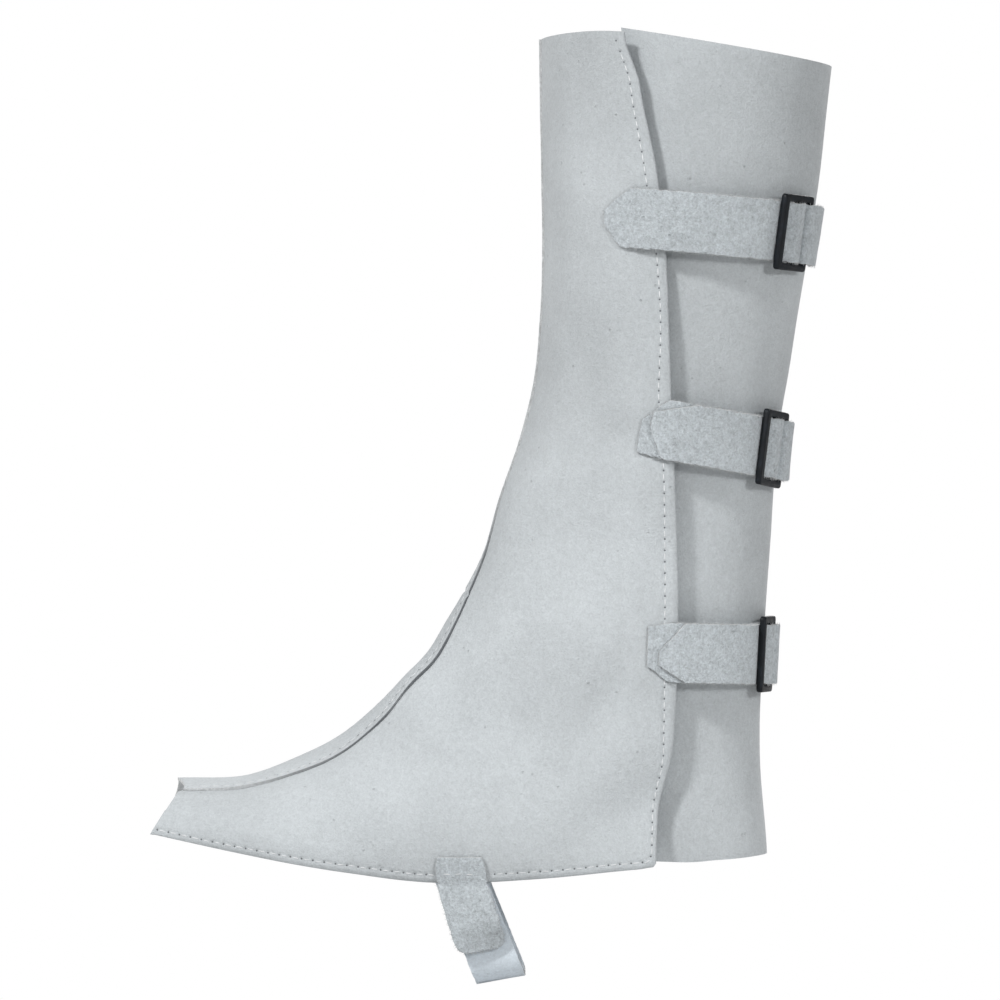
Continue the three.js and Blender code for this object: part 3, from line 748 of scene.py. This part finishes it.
def flapPoint(place, share):  # the rear part, from the back to the edge under the outer panel
    backY, backZ = sectionAt(place)[2:4]
    freeY = along(valueAt(flapEdge, "y", place))
    freeZ = valueAt(flapEdge, "z", place) * form["height"]
    reach = 1 - math.cos(share * math.pi / 2)
    y = lerp(backY, freeY, reach)
    dip = innerSide["hemDip"] * math.sin(reach * math.pi) * smooth(firstFullSection + 1 - place)
    z = lerp(backZ, freeZ, reach) - dip
    foundPlace, foundAngle = locate(y, z)
    point = formPoint(foundPlace, foundAngle)
    normal = formNormal(foundPlace, foundAngle)
    uneven = unevenness(point + Vector((0.4, 0, 0)), panel["coarse"], panel["fine"])
    tuck = innerSide["flapTuck"] * smooth((share - 0.12) / 0.76)
    return Vector((point.x, y, z)) + normal * (uneven - tuck)


flapShare = innerSide["flapColumns"] / (innerSide["flapColumns"] + innerSide["wrapColumns"])


def innerPoint(u, w):
    place = rowPlace(w)
    if u < flapShare - 1e-6:
        return flapPoint(place, 1 - u / flapShare)
    seam, half = sectionAt(place)[6], sectionAt(place)[4]
    end = -endAngle(place, False) if place < firstFullSection else -math.pi
    start = seam + innerSide["lapReach"] / half
    return innerSurface(place, lerp(end, start, (u - flapShare) / (1 - flapShare)))


farAway = {"stitch": 0.25, "side": 30}  # place on the stitch map of what is far from the row


def markRow(bm, line, pitch, reach=0.02):  # stitch map: stitches along, signed millimetres across
    points, total = breakRow(line, max(2, int((line[-1] - line[0]).length / (0.4 * mm))))
    count = len(points)
    tree = kdtree.KDTree(count)
    for i, point in enumerate(points):
        tree.insert(point, i)
    tree.balance()
    layer = bm.loops.layers.uv.new("stitchRow")
    bm.normal_update()
    step = total / (count - 1)
    found, body = {}, 0
    for v in bm.verts:
        near, i, distance = tree.find(v.co)
        ahead = points[min(i + 1, count - 1)] - points[max(i - 1, 0)]
        ahead.normalize()
        offset = v.co - near
        run = offset.dot(ahead)
        side = offset.dot(ahead.cross(v.normal).normalized())
        if distance > reach:
            found[v] = (farAway["stitch"], None)
        else:
            found[v] = ((i * step + run) / pitch, side / mm)
            body += side
    flip = -1 if body > 0 else 1
    for face in bm.faces:
        for loop in face.loops:
            stitch, side = found[loop.vert]
            loop[layer].uv = (stitch, -farAway["side"] if side is None else side * flip)


def keepInner(centre):
    return centre.x > flapShare or rowPlace(centre.y) > firstFullSection


stitches = {
    "pitch": 4.8 * mm,
    "long": 3.0 * mm,
    "wide": 0.4 * mm,
    "high": 0.34 * mm,
    "stripInset": 3.1 * mm,
    "wander": 0.12 * mm,
    "lean": 5,
}
hemInset = {"at": [-1, -0.7, -0.5, -0.2, 0.05], "mm": [3.0, 3.8, 4.2, 3.9, 3.0]}
rearInset = {
    "at": [0.03, 0.087, 0.136, 0.185, 0.31, 0.492, 0.568, 0.646, 0.721, 0.811, 0.957],
    "mm": [2.3, 2.8, 3.7, 5.1, 6.2, 4.9, 5.6, 3.8, 4.2, 5.2, 3.4],
}


def sidePoint(y, z, height):
    place, angle = locate(y, z)
    surface = outerSurface(place, angle)
    return surface + formNormal(place, angle) * height


def outerRowLine(height):  # along the hem from the toe, round the corner and up the rear edge
    line = []
    cornerY = rearLine(0.035 * form["height"]) - 2.6 * mm
    steps = 150
    for i in range(steps):
        share = lerp(-1.005, 0, i / (steps - 1))
        y = lerp(-form["toeReach"] * 0.998, cornerY - 1.5 * mm, 1 + share)
        inset = valueAt(hemInset, "mm", y / form["toeReach"]) * mm
        line.append(sidePoint(y, hemHeight(y) + inset, height))
    for i in range(steps):
        z = lerp(0.034, 0.962, i / (steps - 1)) * form["height"]
        inset = valueAt(rearInset, "mm", z / form["height"]) * mm
        line.append(sidePoint(rearLine(z) - inset, z, height))
    return line


def stripRowLine(height):
    line = []
    for i in range(260):
        place = lerp(0.15, 11.2, i / 259)
        seam, half = sectionAt(place)[6], sectionAt(place)[4]
        angle = seam - stitches["stripInset"] / half
        line.append(innerSurface(place, angle) + formNormal(place, angle) * height)
    return line


def threadPiece(name, line, normalAt, skip=None):
    pitch, wander, lean = stitches["pitch"], stitches["wander"], stitches["lean"]
    points, total = breakRow(line, int(runningLengths(line)[-1] / (0.3 * mm)))
    step = total / (len(points) - 1)
    reach = int(pitch / 2 / step)
    bm = bmesh.new()
    for number in range(1, int(total / pitch) + 1):
        if number * pitch + pitch / 2 > total:
            break
        i = int(number * pitch / step)
        middle = points[i]
        if skip and skip(middle):
            continue
        ahead = (points[min(i + reach, len(points) - 1)] - points[max(i - reach, 0)]).normalized()
        side = normalAt(middle).cross(ahead).normalized()
        normal = ahead.cross(side).normalized()
        turn = Matrix((ahead, side, normal)).transposed().to_4x4()
        leaning = Matrix.Rotation(math.radians(random.uniform(-lean, lean)), 4, "Z")
        size = Matrix.Diagonal((
            stitches["long"] * random.uniform(0.88, 1.06),
            stitches["wide"] * random.uniform(0.85, 1.15),
            stitches["high"] * random.uniform(0.8, 1.1),
            1,
        ))
        shift = side * random.uniform(-wander, wander)
        place = Matrix.Translation(middle + shift) @ turn @ leaning @ size
        bmesh.ops.create_uvsphere(bm, u_segments=8, v_segments=5, radius=0.5, matrix=place)
    finishPiece(addPiece(name, bm, [paleThread]), None)


def panelPiece(name, bm, line, materials, leather, node):
    markRow(bm, line, stitches["pitch"])
    leatherPiece(name, bm, materials, leather, panel["edgeRound"], "suede_panel", node)


print("building the outer panel")
bm = gridMesh(len(columnList) - 1, panel["rows"], outerPoint)
outerLine = outerRowLine(panel["leather"] / 2)
outerMaterials = [panelSuede, liningSuede, rawEdge]
panelPiece("outerPanel", bm, outerLine, outerMaterials, panel["leather"], "outer_panel")

print("building the inner panel")
columns = innerSide["flapColumns"] + innerSide["wrapColumns"]
bm = gridMesh(columns, innerSide["rows"], innerPoint, keepInner)
stripLine = stripRowLine(innerSide["leather"] / 2)
innerMaterials = [stripSuede, liningSuede, stripEdge]
panelPiece("innerPanel", bm, stripLine, innerMaterials, innerSide["leather"], "inner_panel")


strap = {
    "width": 25 * mm,
    "leather": 1.5 * mm,
    "tipLength": 12 * mm,
    "tipBlunt": 3 * mm,
    "tipSteps": 10,
    "tipDescent": 8 * mm,
    "baseCutLength": 9 * mm,
    "basePress": 0.55 * mm,
    "pace": 1.0 * mm,
    "across": 16,
    "clearance": 0.3 * mm,
    "seat": (0.9 + 0.3 + 0.25 + 0.75) * mm,
    "edgeRound": 0.3 * mm,
    "edgeWander": 0.36 * mm,
}
slide = {
    "bar": 2.6 * mm,
    "outerBar": 4 * mm,
    "innerBar": 3 * mm,
    "slot": 7.5 * mm,
    "rail": 3 * mm,
    "lift": 4.7 * mm,
    "corner": 1.6 * mm,
    "edgeRound": 0.65 * mm,
}
tab = {"length": 20 * mm, "descent": 0.53, "steps": 14, "pace": 1.3 * mm}
strapTable = [  # tip, base and slide are degrees from the ridge
    {
        "name": "top", "y": 0.674, "z": 0.764, "slope": 4.6, "tip": 57, "base": 75, "slide": 143,
        "tilt": 8, "slants": (0.95, 0.7), "point": 0, "baseCut": (0.4, 0.4),
    },
    {
        "name": "middle", "y": 0.632, "z": 0.51, "slope": 10.5, "tip": 88, "base": 84, "slide": 152,
        "tilt": 6.5, "slants": (1.3, 0.5), "point": 0.15, "baseCut": (0.75, 0.05),
    },
    {
        "name": "bottom", "y": 0.622, "z": 0.268, "slope": 1.6, "tip": 103, "base": 99,
        "slide": 163, "tilt": 9, "slants": (0.85, 0.9), "point": -0.1, "baseCut": (0.15, 0.5),
    },
]

slideLength = slide["outerBar"] + 2 * slide["innerBar"] + 2 * slide["slot"]
slideWidth = strap["width"] + 4 * strap["clearance"] + 2 * slide["rail"]
barGap = slide["bar"] / 2 + strap["clearance"] + strap["leather"] / 2
layer = strap["leather"] + strap["clearance"]
leftBarEdge = slideLength / 2 - slide["outerBar"]
middleBarStart = -leftBarEdge + slide["slot"]
middleBarEnd = middleBarStart + slide["innerBar"]
rightBarStart = middleBarEnd + slide["slot"]
ease = 2 * strap["clearance"]
halfStrap = strap["width"] / 2


class Track:  # the line of a strap on the form, measured from the middle of its slide

    def __init__(self, entry):
        self.slope = math.tan(math.radians(entry["slope"]))
        self.y, self.z = along(entry["y"]), entry["z"] * form["height"]
        self.samples = []
        angle, length, previous = 25, 0, None
        while angle < 240:
            point = self.pointAt(math.radians(angle))
            if previous:
                length += (point - previous).length
            self.samples.append((math.radians(angle), length))
            previous = point
            angle += 1
        self.slideAt = self.lengthAt(math.radians(entry["slide"]))
        flat = self.frameAt(0)
        tilt = Matrix.Rotation(math.radians(entry["tilt"]), 3, flat["across"])
        self.home = {
            "point": flat["point"] + flat["normal"] * slide["lift"],
            "across": flat["across"],
            "forward": tilt @ flat["forward"],
            "normal": tilt @ flat["normal"],
        }

        def before(distance):
            point = self.frameAt(distance)["point"]
            return rearLine(point.z) - point.y

        self.edge = crossing(before, -form["calfReach"], 0)

    def placeAt(self, angle, rise=0.0):
        across = (1 - math.cos(angle)) / 2

        def below(place):
            y, z = sideView(sectionAt(place), across)
            return self.z + rise - self.slope * (y - self.y) - z

        return crossing(below, 4, lastSection)

    def pointAt(self, angle):
        return formPoint(self.placeAt(angle), angle)

    def between(self, value, column):
        for a, b in zip(self.samples, self.samples[1:]):
            if b[column] > value:
                share = (value - a[column]) / (b[column] - a[column])
                return lerp(a[1 - column], b[1 - column], share)
        return self.samples[-1][1 - column]

    def lengthAt(self, angle):
        return self.between(angle, 0)

    def distanceTo(self, degrees):
        return self.lengthAt(math.radians(degrees)) - self.slideAt

    def frameAt(self, distance):
        angle = self.between(distance + self.slideAt, 1)
        place = self.placeAt(angle)
        normal = formNormal(place, angle)
        step = math.radians(2)
        forward = (self.pointAt(angle + step) - self.pointAt(angle - step)).normalized()
        across = normal.cross(forward).normalized()
        return {
            "angle": angle,
            "place": place,
            "point": self.pointAt(angle),
            "normal": normal,
            "forward": forward,
            "across": across,
        }

    def planeHeight(self, distance):
        here = self.frameAt(distance)
        reach = (self.home["point"] - here["point"]).dot(self.home["normal"])
        return reach / here["normal"].dot(self.home["normal"])


def rowAcross(low, high, pointAt):
    return [pointAt(lerp(low, high, i / strap["across"])) for i in range(strap["across"] + 1)]


def slideRow(track, distance, height):
    home = track.home
    middle = home["point"] + home["forward"] * distance + home["normal"] * height
    return rowAcross(-halfStrap, halfStrap, lambda side: middle + home["across"] * side)


def sideRow(track, distance, heightAt, low=-halfStrap, high=halfStrap):
    here = track.frameAt(distance)

    def pointAt(side):
        target = here["point"] + here["across"] * side
        place, angle = locate(target.y, target.z)
        seat = Vector((formPoint(place, angle).x, target.y, target.z))
        return seat + formNormal(place, angle) * heightAt(place, angle)

    return rowAcross(low, high, pointAt)


def backRow(track, distance, height):
    angle = track.frameAt(distance)["angle"]

    def pointAt(side):
        place = track.placeAt(angle, side)
        return formPoint(place, angle) + formNormal(place, angle) * height

    return rowAcross(-halfStrap, halfStrap, pointAt)


def turnRows(track, centre, side, steps=12):
    rows = []
    for i in range(steps + 1):
        a = (i / steps - 0.5) * math.pi
        rows.append(slideRow(track, centre + side * barGap * math.cos(a), barGap * math.sin(a)))
    return rows


def evenRows(rows, spacing, softening, crispEnd=0.0):
    lengths = runningLengths([row[strap["across"] // 2] for row in rows])
    count = max(8, round(lengths[-1] / spacing))
    out = []
    for i, t in evenSteps(lengths, count):
        out.append([a.lerp(b, t) for a, b in zip(rows[i], rows[i + 1])])
    crisp = round(crispEnd / spacing)
    for _ in range(softening):
        eased = [out[0]]
        for before, here, after in zip(out, out[1:], out[2:]):
            eased.append([h * 0.5 + (b + a) * 0.25 for b, h, a in zip(before, here, after)])
        out = eased[:count - crisp] + out[count - crisp:]
    return out


ragged = {"scale": 520, "strength": 1.6, "waveScale": 130, "wave": 0.10 * mm}


def bandMesh(rows, seed, wander):  # a band with ragged edges and a slightly wavy face
    count, columns = len(rows) - 1, strap["across"]

    def pointAt(u, w):
        i, j = round(w * count), round(u * columns)
        point = rows[i][j]
        across = rows[i][-1] - rows[i][0]
        if across.length > 1e-6:
            side = 2 * j / columns - 1
            rough = noise.noise(point * ragged["scale"] + Vector((seed, 0, 0)))
            outward = across.normalized() * side
            point = point + outward * wander * abs(side) ** 6 * rough * ragged["strength"]
        return point

    bm = gridMesh(columns, count, pointAt)
    bm.normal_update()
    for v in bm.verts:
        wave = noise.noise(v.co * ragged["waveScale"] + Vector((seed, 2, 0)))
        v.co += v.normal * (ragged["wave"] * wave)
    return bm


def strapRows(entry, track):
    base, tip = track.distanceTo(entry["base"]), track.distanceTo(entry["tip"])
    flat = -slideLength / 2 - ease
    bridge = track.planeHeight(flat) - barGap - layer

    def lowerHeight(distance):
        share = smooth((distance - track.edge) / (flat - track.edge))
        press = strap["basePress"] * (1 - smooth((distance - base) / strap["baseCutLength"]))

        def height(place, angle):
            free = min(angle, endAngle(place, True))
            return lerp(standoffAt(place, free) + strap["seat"] - press, bridge, share)

        return height

    def upperHeight(distance):
        share = smooth((distance - base) / strap["tipDescent"] + 1)
        low = lowerHeight(distance)
        return lambda place, angle: low(place, angle) + layer * share

    rows = []
    steps = math.ceil((flat - base) / (3 * mm))
    for i in range(steps):
        distance = lerp(base, flat, i / steps)
        cut = 1 - smooth((distance - base) / strap["baseCutLength"])
        low, high = (halfStrap * (1 - share * cut) for share in reversed(entry["baseCut"]))
        rows.append(sideRow(track, distance, lowerHeight(distance), -low, high))
    before, after = ease - leftBarEdge, middleBarStart - ease
    for distance, height in ((flat, -barGap - layer), (before, -barGap - layer), (after, -barGap)):
        rows.append(slideRow(track, distance, height))
    rows += turnRows(track, middleBarEnd, 1)
    for distance, height in ((after, barGap), (before, -barGap), (flat, -barGap)):
        rows.append(slideRow(track, distance, height))
    slants = [share * strap["tipLength"] for share in entry["slants"]]
    shoulder = tip + max(slants)
    steps = max(2, math.ceil((flat - shoulder) / (3 * mm)))
    for i in range(1, steps):
        distance = lerp(flat, shoulder, i / steps)
        rows.append(sideRow(track, distance, upperHeight(distance)))
    middle = entry["point"] * strap["width"]
    for i in range(strap["tipSteps"] + 1):
        stop = max(slants) * (1 - i / strap["tipSteps"])
        high = lerp(middle + strap["tipBlunt"], halfStrap, min(1, stop / slants[0]))
        low = lerp(middle - strap["tipBlunt"], -halfStrap, min(1, stop / slants[1]))
        rows.append(sideRow(track, tip + stop, upperHeight(tip + stop), low, high))
    return rows


def tabRows(track):
    start = rightBarStart + slide["innerBar"] + ease
    plane = track.planeHeight(start)

    def rowAt(i, fromHeight, toHeight):
        share = i / tab["steps"]
        height = lerp(fromHeight, toHeight, smooth(share / tab["descent"]))
        return backRow(track, start + tab["length"] * share, height)

    rows = [rowAt(i, plane - barGap, strap["seat"]) for i in range(tab["steps"], 0, -1)]
    rows.append(slideRow(track, start, -barGap))
    rows += turnRows(track, rightBarStart, -1)
    rows.append(slideRow(track, start, barGap))
    rows += [rowAt(i, plane + barGap, strap["seat"] + layer) for i in range(1, tab["steps"] + 1)]
    return rows


def roundEdges(bm, edges, width, segments):
    bmesh.ops.bevel(
        bm, geom=edges, offset=width, affect="EDGES", segments=segments, profile=0.5, material=-1,
    )


def slideMesh(home):
    half = slideWidth / 2
    end = slideLength / 2
    xs = [-end, -leftBarEdge, middleBarStart, middleBarEnd, rightBarStart, end]
    ys = [-half, -half + slide["rail"], half - slide["rail"], half]
    bm = bmesh.new()
    bmesh.ops.create_grid(bm, x_segments=5, y_segments=3, size=0.5)
    windows = []
    for face in bm.faces:
        centre = face.calc_center_median()
        if abs(centre.y) < 0.1 and abs(abs(centre.x) - 0.2) < 0.05:
            windows.append(face)
    bmesh.ops.delete(bm, geom=windows, context="FACES")
    for v in bm.verts:
        v.co = Vector((xs[round((v.co.x + 0.5) * 5)], ys[round((v.co.y + 0.5) * 3)], 0))
    raised = bmesh.ops.extrude_face_region(bm, geom=bm.faces[:])
    for v in [g for g in raised["geom"] if isinstance(g, bmesh.types.BMVert)]:
        v.co.z += slide["bar"]
    bmesh.ops.translate(bm, verts=bm.verts[:], vec=(0, 0, -slide["bar"] / 2))
    bmesh.ops.recalc_face_normals(bm, faces=bm.faces[:])
    near = 0.01 * mm
    corners = []
    for edge in bm.edges:
        a, b = edge.verts[0].co, edge.verts[1].co
        atCorner = abs(abs(a.x) - end) < near and abs(abs(a.y) - half) < near
        if abs(a.z - b.z) > mm and atCorner:
            corners.append(edge)
    roundEdges(bm, corners, slide["corner"], 4)
    flatEdges = [e for e in bm.edges if e.is_manifold and e.calc_face_angle(0) < 0.01]
    bmesh.ops.dissolve_edges(bm, edges=flatEdges, use_verts=False)
    limit = math.radians(50)
    sharp = [e for e in bm.edges if e.is_manifold and e.calc_face_angle(0) > limit]
    roundEdges(bm, sharp, slide["edgeRound"], 3)
    turn = Matrix((home["forward"], home["across"], home["normal"])).transposed().to_4x4()
    place = Matrix.Translation(home["point"]) @ turn
    bmesh.ops.transform(bm, matrix=place, verts=bm.verts[:])
    return bm


fuzzyRows = []


def bandPiece(name, rows, seed, wander, node, suede=strapSuede):
    materials = [suede, suede, rawEdge]
    band = bandMesh(rows, seed, wander)
    leatherPiece(name, band, materials, strap["leather"], strap["edgeRound"], "suede_strap", node)


for number, entry in enumerate(strapTable):
    name, track = entry["name"], Track(entry)
    crisp = strap["tipLength"] * max(entry["slants"]) + mm
    rows = evenRows(strapRows(entry, track), strap["pace"], 2, crisp)
    fuzzyRows.append((rows, 1.0))
    bandPiece(f"strap.{name}", rows, 5 + number * 3, strap["edgeWander"], f"strap_{name}")
    rows = evenRows(tabRows(track), tab["pace"], 1)
    fuzzyRows.append((rows, 0.35))
    bandPiece(f"slideTab.{name}", rows, 31 + number * 3, strap["edgeWander"], f"buckle_tab_{name}")
    piece = addPiece(f"slide.{name}", slideMesh(track.home), [blackEnamel])
    finishPiece(piece, "black_slide", f"buckle_{name}")


stirrup = {
    "width": 21 * mm,
    "drop": 41 * mm,
    "corner": 11 * mm,
    "cornerSteps": 10,
    "tilt": 22,
    "roll": 10,
    "tuck": 9 * mm,
    "place": -0.366,
    "hemTurn": 1.3 * mm,
}
hemTab = {
    "tilt": 17,
    "lean": 6,
    "rise": 11.5 * mm,
    "riseSteps": 8,
    "topNarrow": 0.12,
    "drop": 28 * mm,
    "dropSteps": 20,
    "flare": 1.5 * mm,
    "bulge": 2.8 * mm,
    "curl": 4.6 * mm,
    "curlStart": (0.58, 0.42),  # where it starts and over how much of the drop
    "roundStart": (0.86, 0.14),
    "tipNarrow": 0.66,
}
tabY = stirrup["place"] * form["toeReach"]
tabPlace, tabAngle = locate(tabY, hemHeight(tabY))
hemPoint = formPoint(tabPlace, tabAngle)
halfStirrup = stirrup["width"] / 2
rollAngle = math.radians(stirrup["roll"])


def shareAfter(share, start, over):
    return (share - start) / over


def hemTabRows():
    rows = []
    leaning, hanging = (math.tan(math.radians(hemTab[key])) for key in ("lean", "tilt"))
    for i in range(hemTab["riseSteps"], -1, -1):
        rise = hemTab["rise"] * i / hemTab["riseSteps"]
        y = tabY - rise * leaning
        reach = halfStirrup * (1 - hemTab["topNarrow"] * smooth(i / 4 - 1.2))

        def onPanel(side):
            place, angle = locate(y + side, hemPoint.z + rise)
            x = formPoint(place, angle).x + standoffAt(place, angle)
            return Vector((x + strap["seat"], y + side, hemPoint.z + rise))

        rows.append(rowAcross(-reach, reach, onPanel))
    hemRow = rows[-1]
    for i in range(1, hemTab["dropSteps"] + 1):
        share = i / hemTab["dropSteps"]
        drop, out = hemTab["drop"] * share, hemTab["flare"] * share
        curl = smooth(shareAfter(share, *hemTab["curlStart"]))
        rounding = clamp(shareAfter(share, *hemTab["roundStart"]))
        bulge = hemTab["bulge"] * math.sin(math.pi * share) - hemTab["curl"] * curl
        tip = math.sqrt(max(0, 1 - rounding * rounding))
        reach = halfStirrup * lerp(hemTab["tipNarrow"], 1, tip)
        level = smooth(share * 4)

        def below(side):
            hem = hemRow[round((side / reach + 1) * 0.5 * strap["across"])]
            x = lerp(hem.x, hemPoint.x + strap["seat"], level) + out
            x += bulge * (0.6 + side / halfStirrup * 0.4)
            y = tabY + drop * hanging + side * math.cos(rollAngle * level)
            return Vector((x, y, hemPoint.z - drop + side * math.sin(rollAngle * level)))

        rows.append(rowAcross(-reach, reach, below))
    return rows


def stirrupRows():
    reach = hemPoint.x - strap["seat"]
    tilt = math.radians(stirrup["tilt"])
    down = Vector((0, math.sin(tilt), -math.cos(tilt)))
    across = Vector((0, math.cos(rollAngle), math.sin(rollAngle)))
    drop = (stirrup["drop"] + hemPoint.z - strap["leather"] / 2) / math.cos(tilt)
    corner = stirrup["corner"]

    def sideRoute(sign):
        side = reach - stirrup["hemTurn"] if sign > 0 else -reach
        straight = drop - corner
        route = [(side, depth) for depth in (-stirrup["tuck"], 0, straight / 2, straight)]
        for i in range(1, stirrup["cornerSteps"] + 1):
            a = i / stirrup["cornerSteps"] * math.pi / 2
            inward = corner * (1 - math.cos(a))
            route.append((side - sign * inward, drop - corner * (1 - math.sin(a))))
        return route

    rows = []
    for x, depth in sideRoute(1) + [(0, drop)] + sideRoute(-1)[::-1]:
        middle = Vector((x, tabY, hemPoint.z)) + down * depth
        rows.append(rowAcross(-halfStirrup, halfStirrup, lambda side: middle + across * side))
    return rows


tabGrid = hemTabRows()
rows = evenRows(tabGrid, 1.1 * mm, 1)
fuzzyRows.append((rows, 0.8))
bandPiece("footStrapTab", rows, 61, 0.25 * mm, "foot_strap_tab")
rows = evenRows(stirrupRows(), 1.5 * mm, 1)
bandPiece("footStrap", rows, 71, 0.15 * mm, "foot_strap", brightenedFootSuede)


def outward(point):
    return formNormal(*locate(point.y, point.z))


def underTab(point):
    return abs(point.y - tabY) < halfStirrup + mm and point.z < 0.02


print("sewing")
threadPiece("threadHem", outerLine, outward, underTab)
threadPiece("threadStrip", stripLine, outward)
tabLine = [point + Vector((strap["leather"] / 2, 0, 0)) for point in tabGrid[5]]
threadPiece("threadTab", tabLine, lambda point: Vector((1, 0, 0)))

fuzz = {
    "spacing": 0.4 * mm,
    "long": (0.5 * mm, 1.5 * mm),
    "thick": 0.08 * mm,
    "depth": 0.45,  # share of the leather's thickness to each side of its middle
    "stray": (0.7, 0.9),
}


def scatter(bm, a, b, outwards, density):  # loose fibres on one stretch of a cut edge
    forward = (b - a).normalized()
    normal = outwards.cross(forward).normalized()
    for _ in range(int((b - a).length / fuzz["spacing"] * density + random.random())):
        root = a.lerp(b, random.random())
        root += normal * random.uniform(-fuzz["depth"], fuzz["depth"]) * strap["leather"]
        up, ahead = (random.uniform(-most, most) for most in fuzz["stray"])
        direction = (outwards + (normal * up + forward * ahead)).normalized()
        length = random.uniform(*fuzz["long"])
        turn = direction.to_track_quat("Z", "Y").to_matrix().to_4x4()
        bmesh.ops.create_cone(
            bm, cap_ends=False, segments=3, radius1=fuzz["thick"], radius2=fuzz["thick"] * 0.3,
            depth=length, matrix=Matrix.Translation(root + direction * length * 0.4) @ turn,
        )


def fuzzOnRows(bm, rows, density):  # along both cut edges of a band and across its two ends
    for side, beside in ((0, 1), (-1, -2)):
        for a, b in zip(rows, rows[1:]):
            outwards = a[side] - a[beside]
            if outwards.length >= 1e-7 and (b[side] - a[side]).length >= 1e-7:
                scatter(bm, a[side], b[side], outwards.normalized(), density)
    for end, before in ((0, 1), (-1, -2)):
        for a, b, inner in zip(rows[end], rows[end][1:], rows[before]):
            scatter(bm, a, b, (a - inner).normalized(), density * 2)


bm = bmesh.new()
for rows, density in fuzzyRows:
    fuzzOnRows(bm, rows, density)
finishPiece(addPiece("looseFibres", bm, [rawEdge]), None)


room = {
    "floorDrop": 0.0004,
    "floorReach": 14,
    "floorColour": (0.72, 0.72, 0.72),
    "sky": 0.30,
    "backdrop": 1.0,
}
bm = bmesh.new()
bmesh.ops.create_circle(bm, cap_ends=True, cap_tris=False, segments=64, radius=room["floorReach"])
low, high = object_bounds()
bmesh.ops.translate(bm, verts=bm.verts[:], vec=(0, 0, low.z - room["floorDrop"]))
white, black = (1, 1, 1, 1), (0, 0, 0, 1)
floorPaint, floorTree, floorShader = newMaterial(
    "floorPaint", {"Roughness": 0.9, "Specular IOR Level": 0, "Emission Color": white}
)
toCamera = addNode(floorTree, "ShaderNodeLightPath").outputs["Is Camera Ray"]
floorTone = mixColour(toCamera, rgba(room["floorColour"]), black)
feed(floorShader, {"Emission Strength": toCamera, "Base Color": floorTone})
floor = addPiece("floor", bm, [floorPaint], False)

world = bpy.data.worlds.new("studio")
bpy.context.scene.world = world
world.use_nodes = True
seen = addNode(world.node_tree, "ShaderNodeLightPath").outputs["Is Camera Ray"]
inputs = {"Value": seen, "To Min": room["sky"], "To Max": room["backdrop"]}
strength = addNode(world.node_tree, "ShaderNodeMapRange", inputs).outputs["Result"]
feed(world.node_tree.nodes["Background"], {"Color": white, "Strength": strength})

lamps = [  # name, place, aimed at, size, watts
    ("keyLeft", (2.3, -1.9, 2.4), (0, -0.08, 0.1), 0.5, 88),
    ("fillRight", (2.6, 1.5, 0.9), (0, 0, 0.1), 0.5, 27),
    ("backSoft", (-2.4, 0.9, 1.9), (0, 0, 0.15), 0.8, 42),
]
for name, place, aim, size, watts in lamps:
    data = bpy.data.lights.new(name, "AREA")
    data.shape = "DISK"
    data.size = size
    data.energy = watts
    lamp = bpy.data.objects.new(name, data)
    lamp.location = place
    lamp.rotation_euler = (Vector(aim) - Vector(place)).to_track_quat("-Z", "Y").to_euler()
    bpy.context.scene.collection.objects.link(lamp)

view = {"distance": 4.0, "y": -0.0595, "z": 0.1615, "frame": 0.425, "sensor": 36}
cameraData = bpy.data.cameras.new("camera")
cameraData.sensor_width = view["sensor"]
cameraData.lens = view["sensor"] * view["distance"] / view["frame"]
cameraData.clip_end = 60
camera = bpy.data.objects.new("camera", cameraData)
camera.location = (view["distance"], view["y"], view["z"])
camera.rotation_euler = (math.radians(90), 0, math.radians(90))
bpy.context.scene.collection.objects.link(camera)
bpy.context.scene.camera = camera
bpy.context.scene.view_settings.view_transform = "Standard"
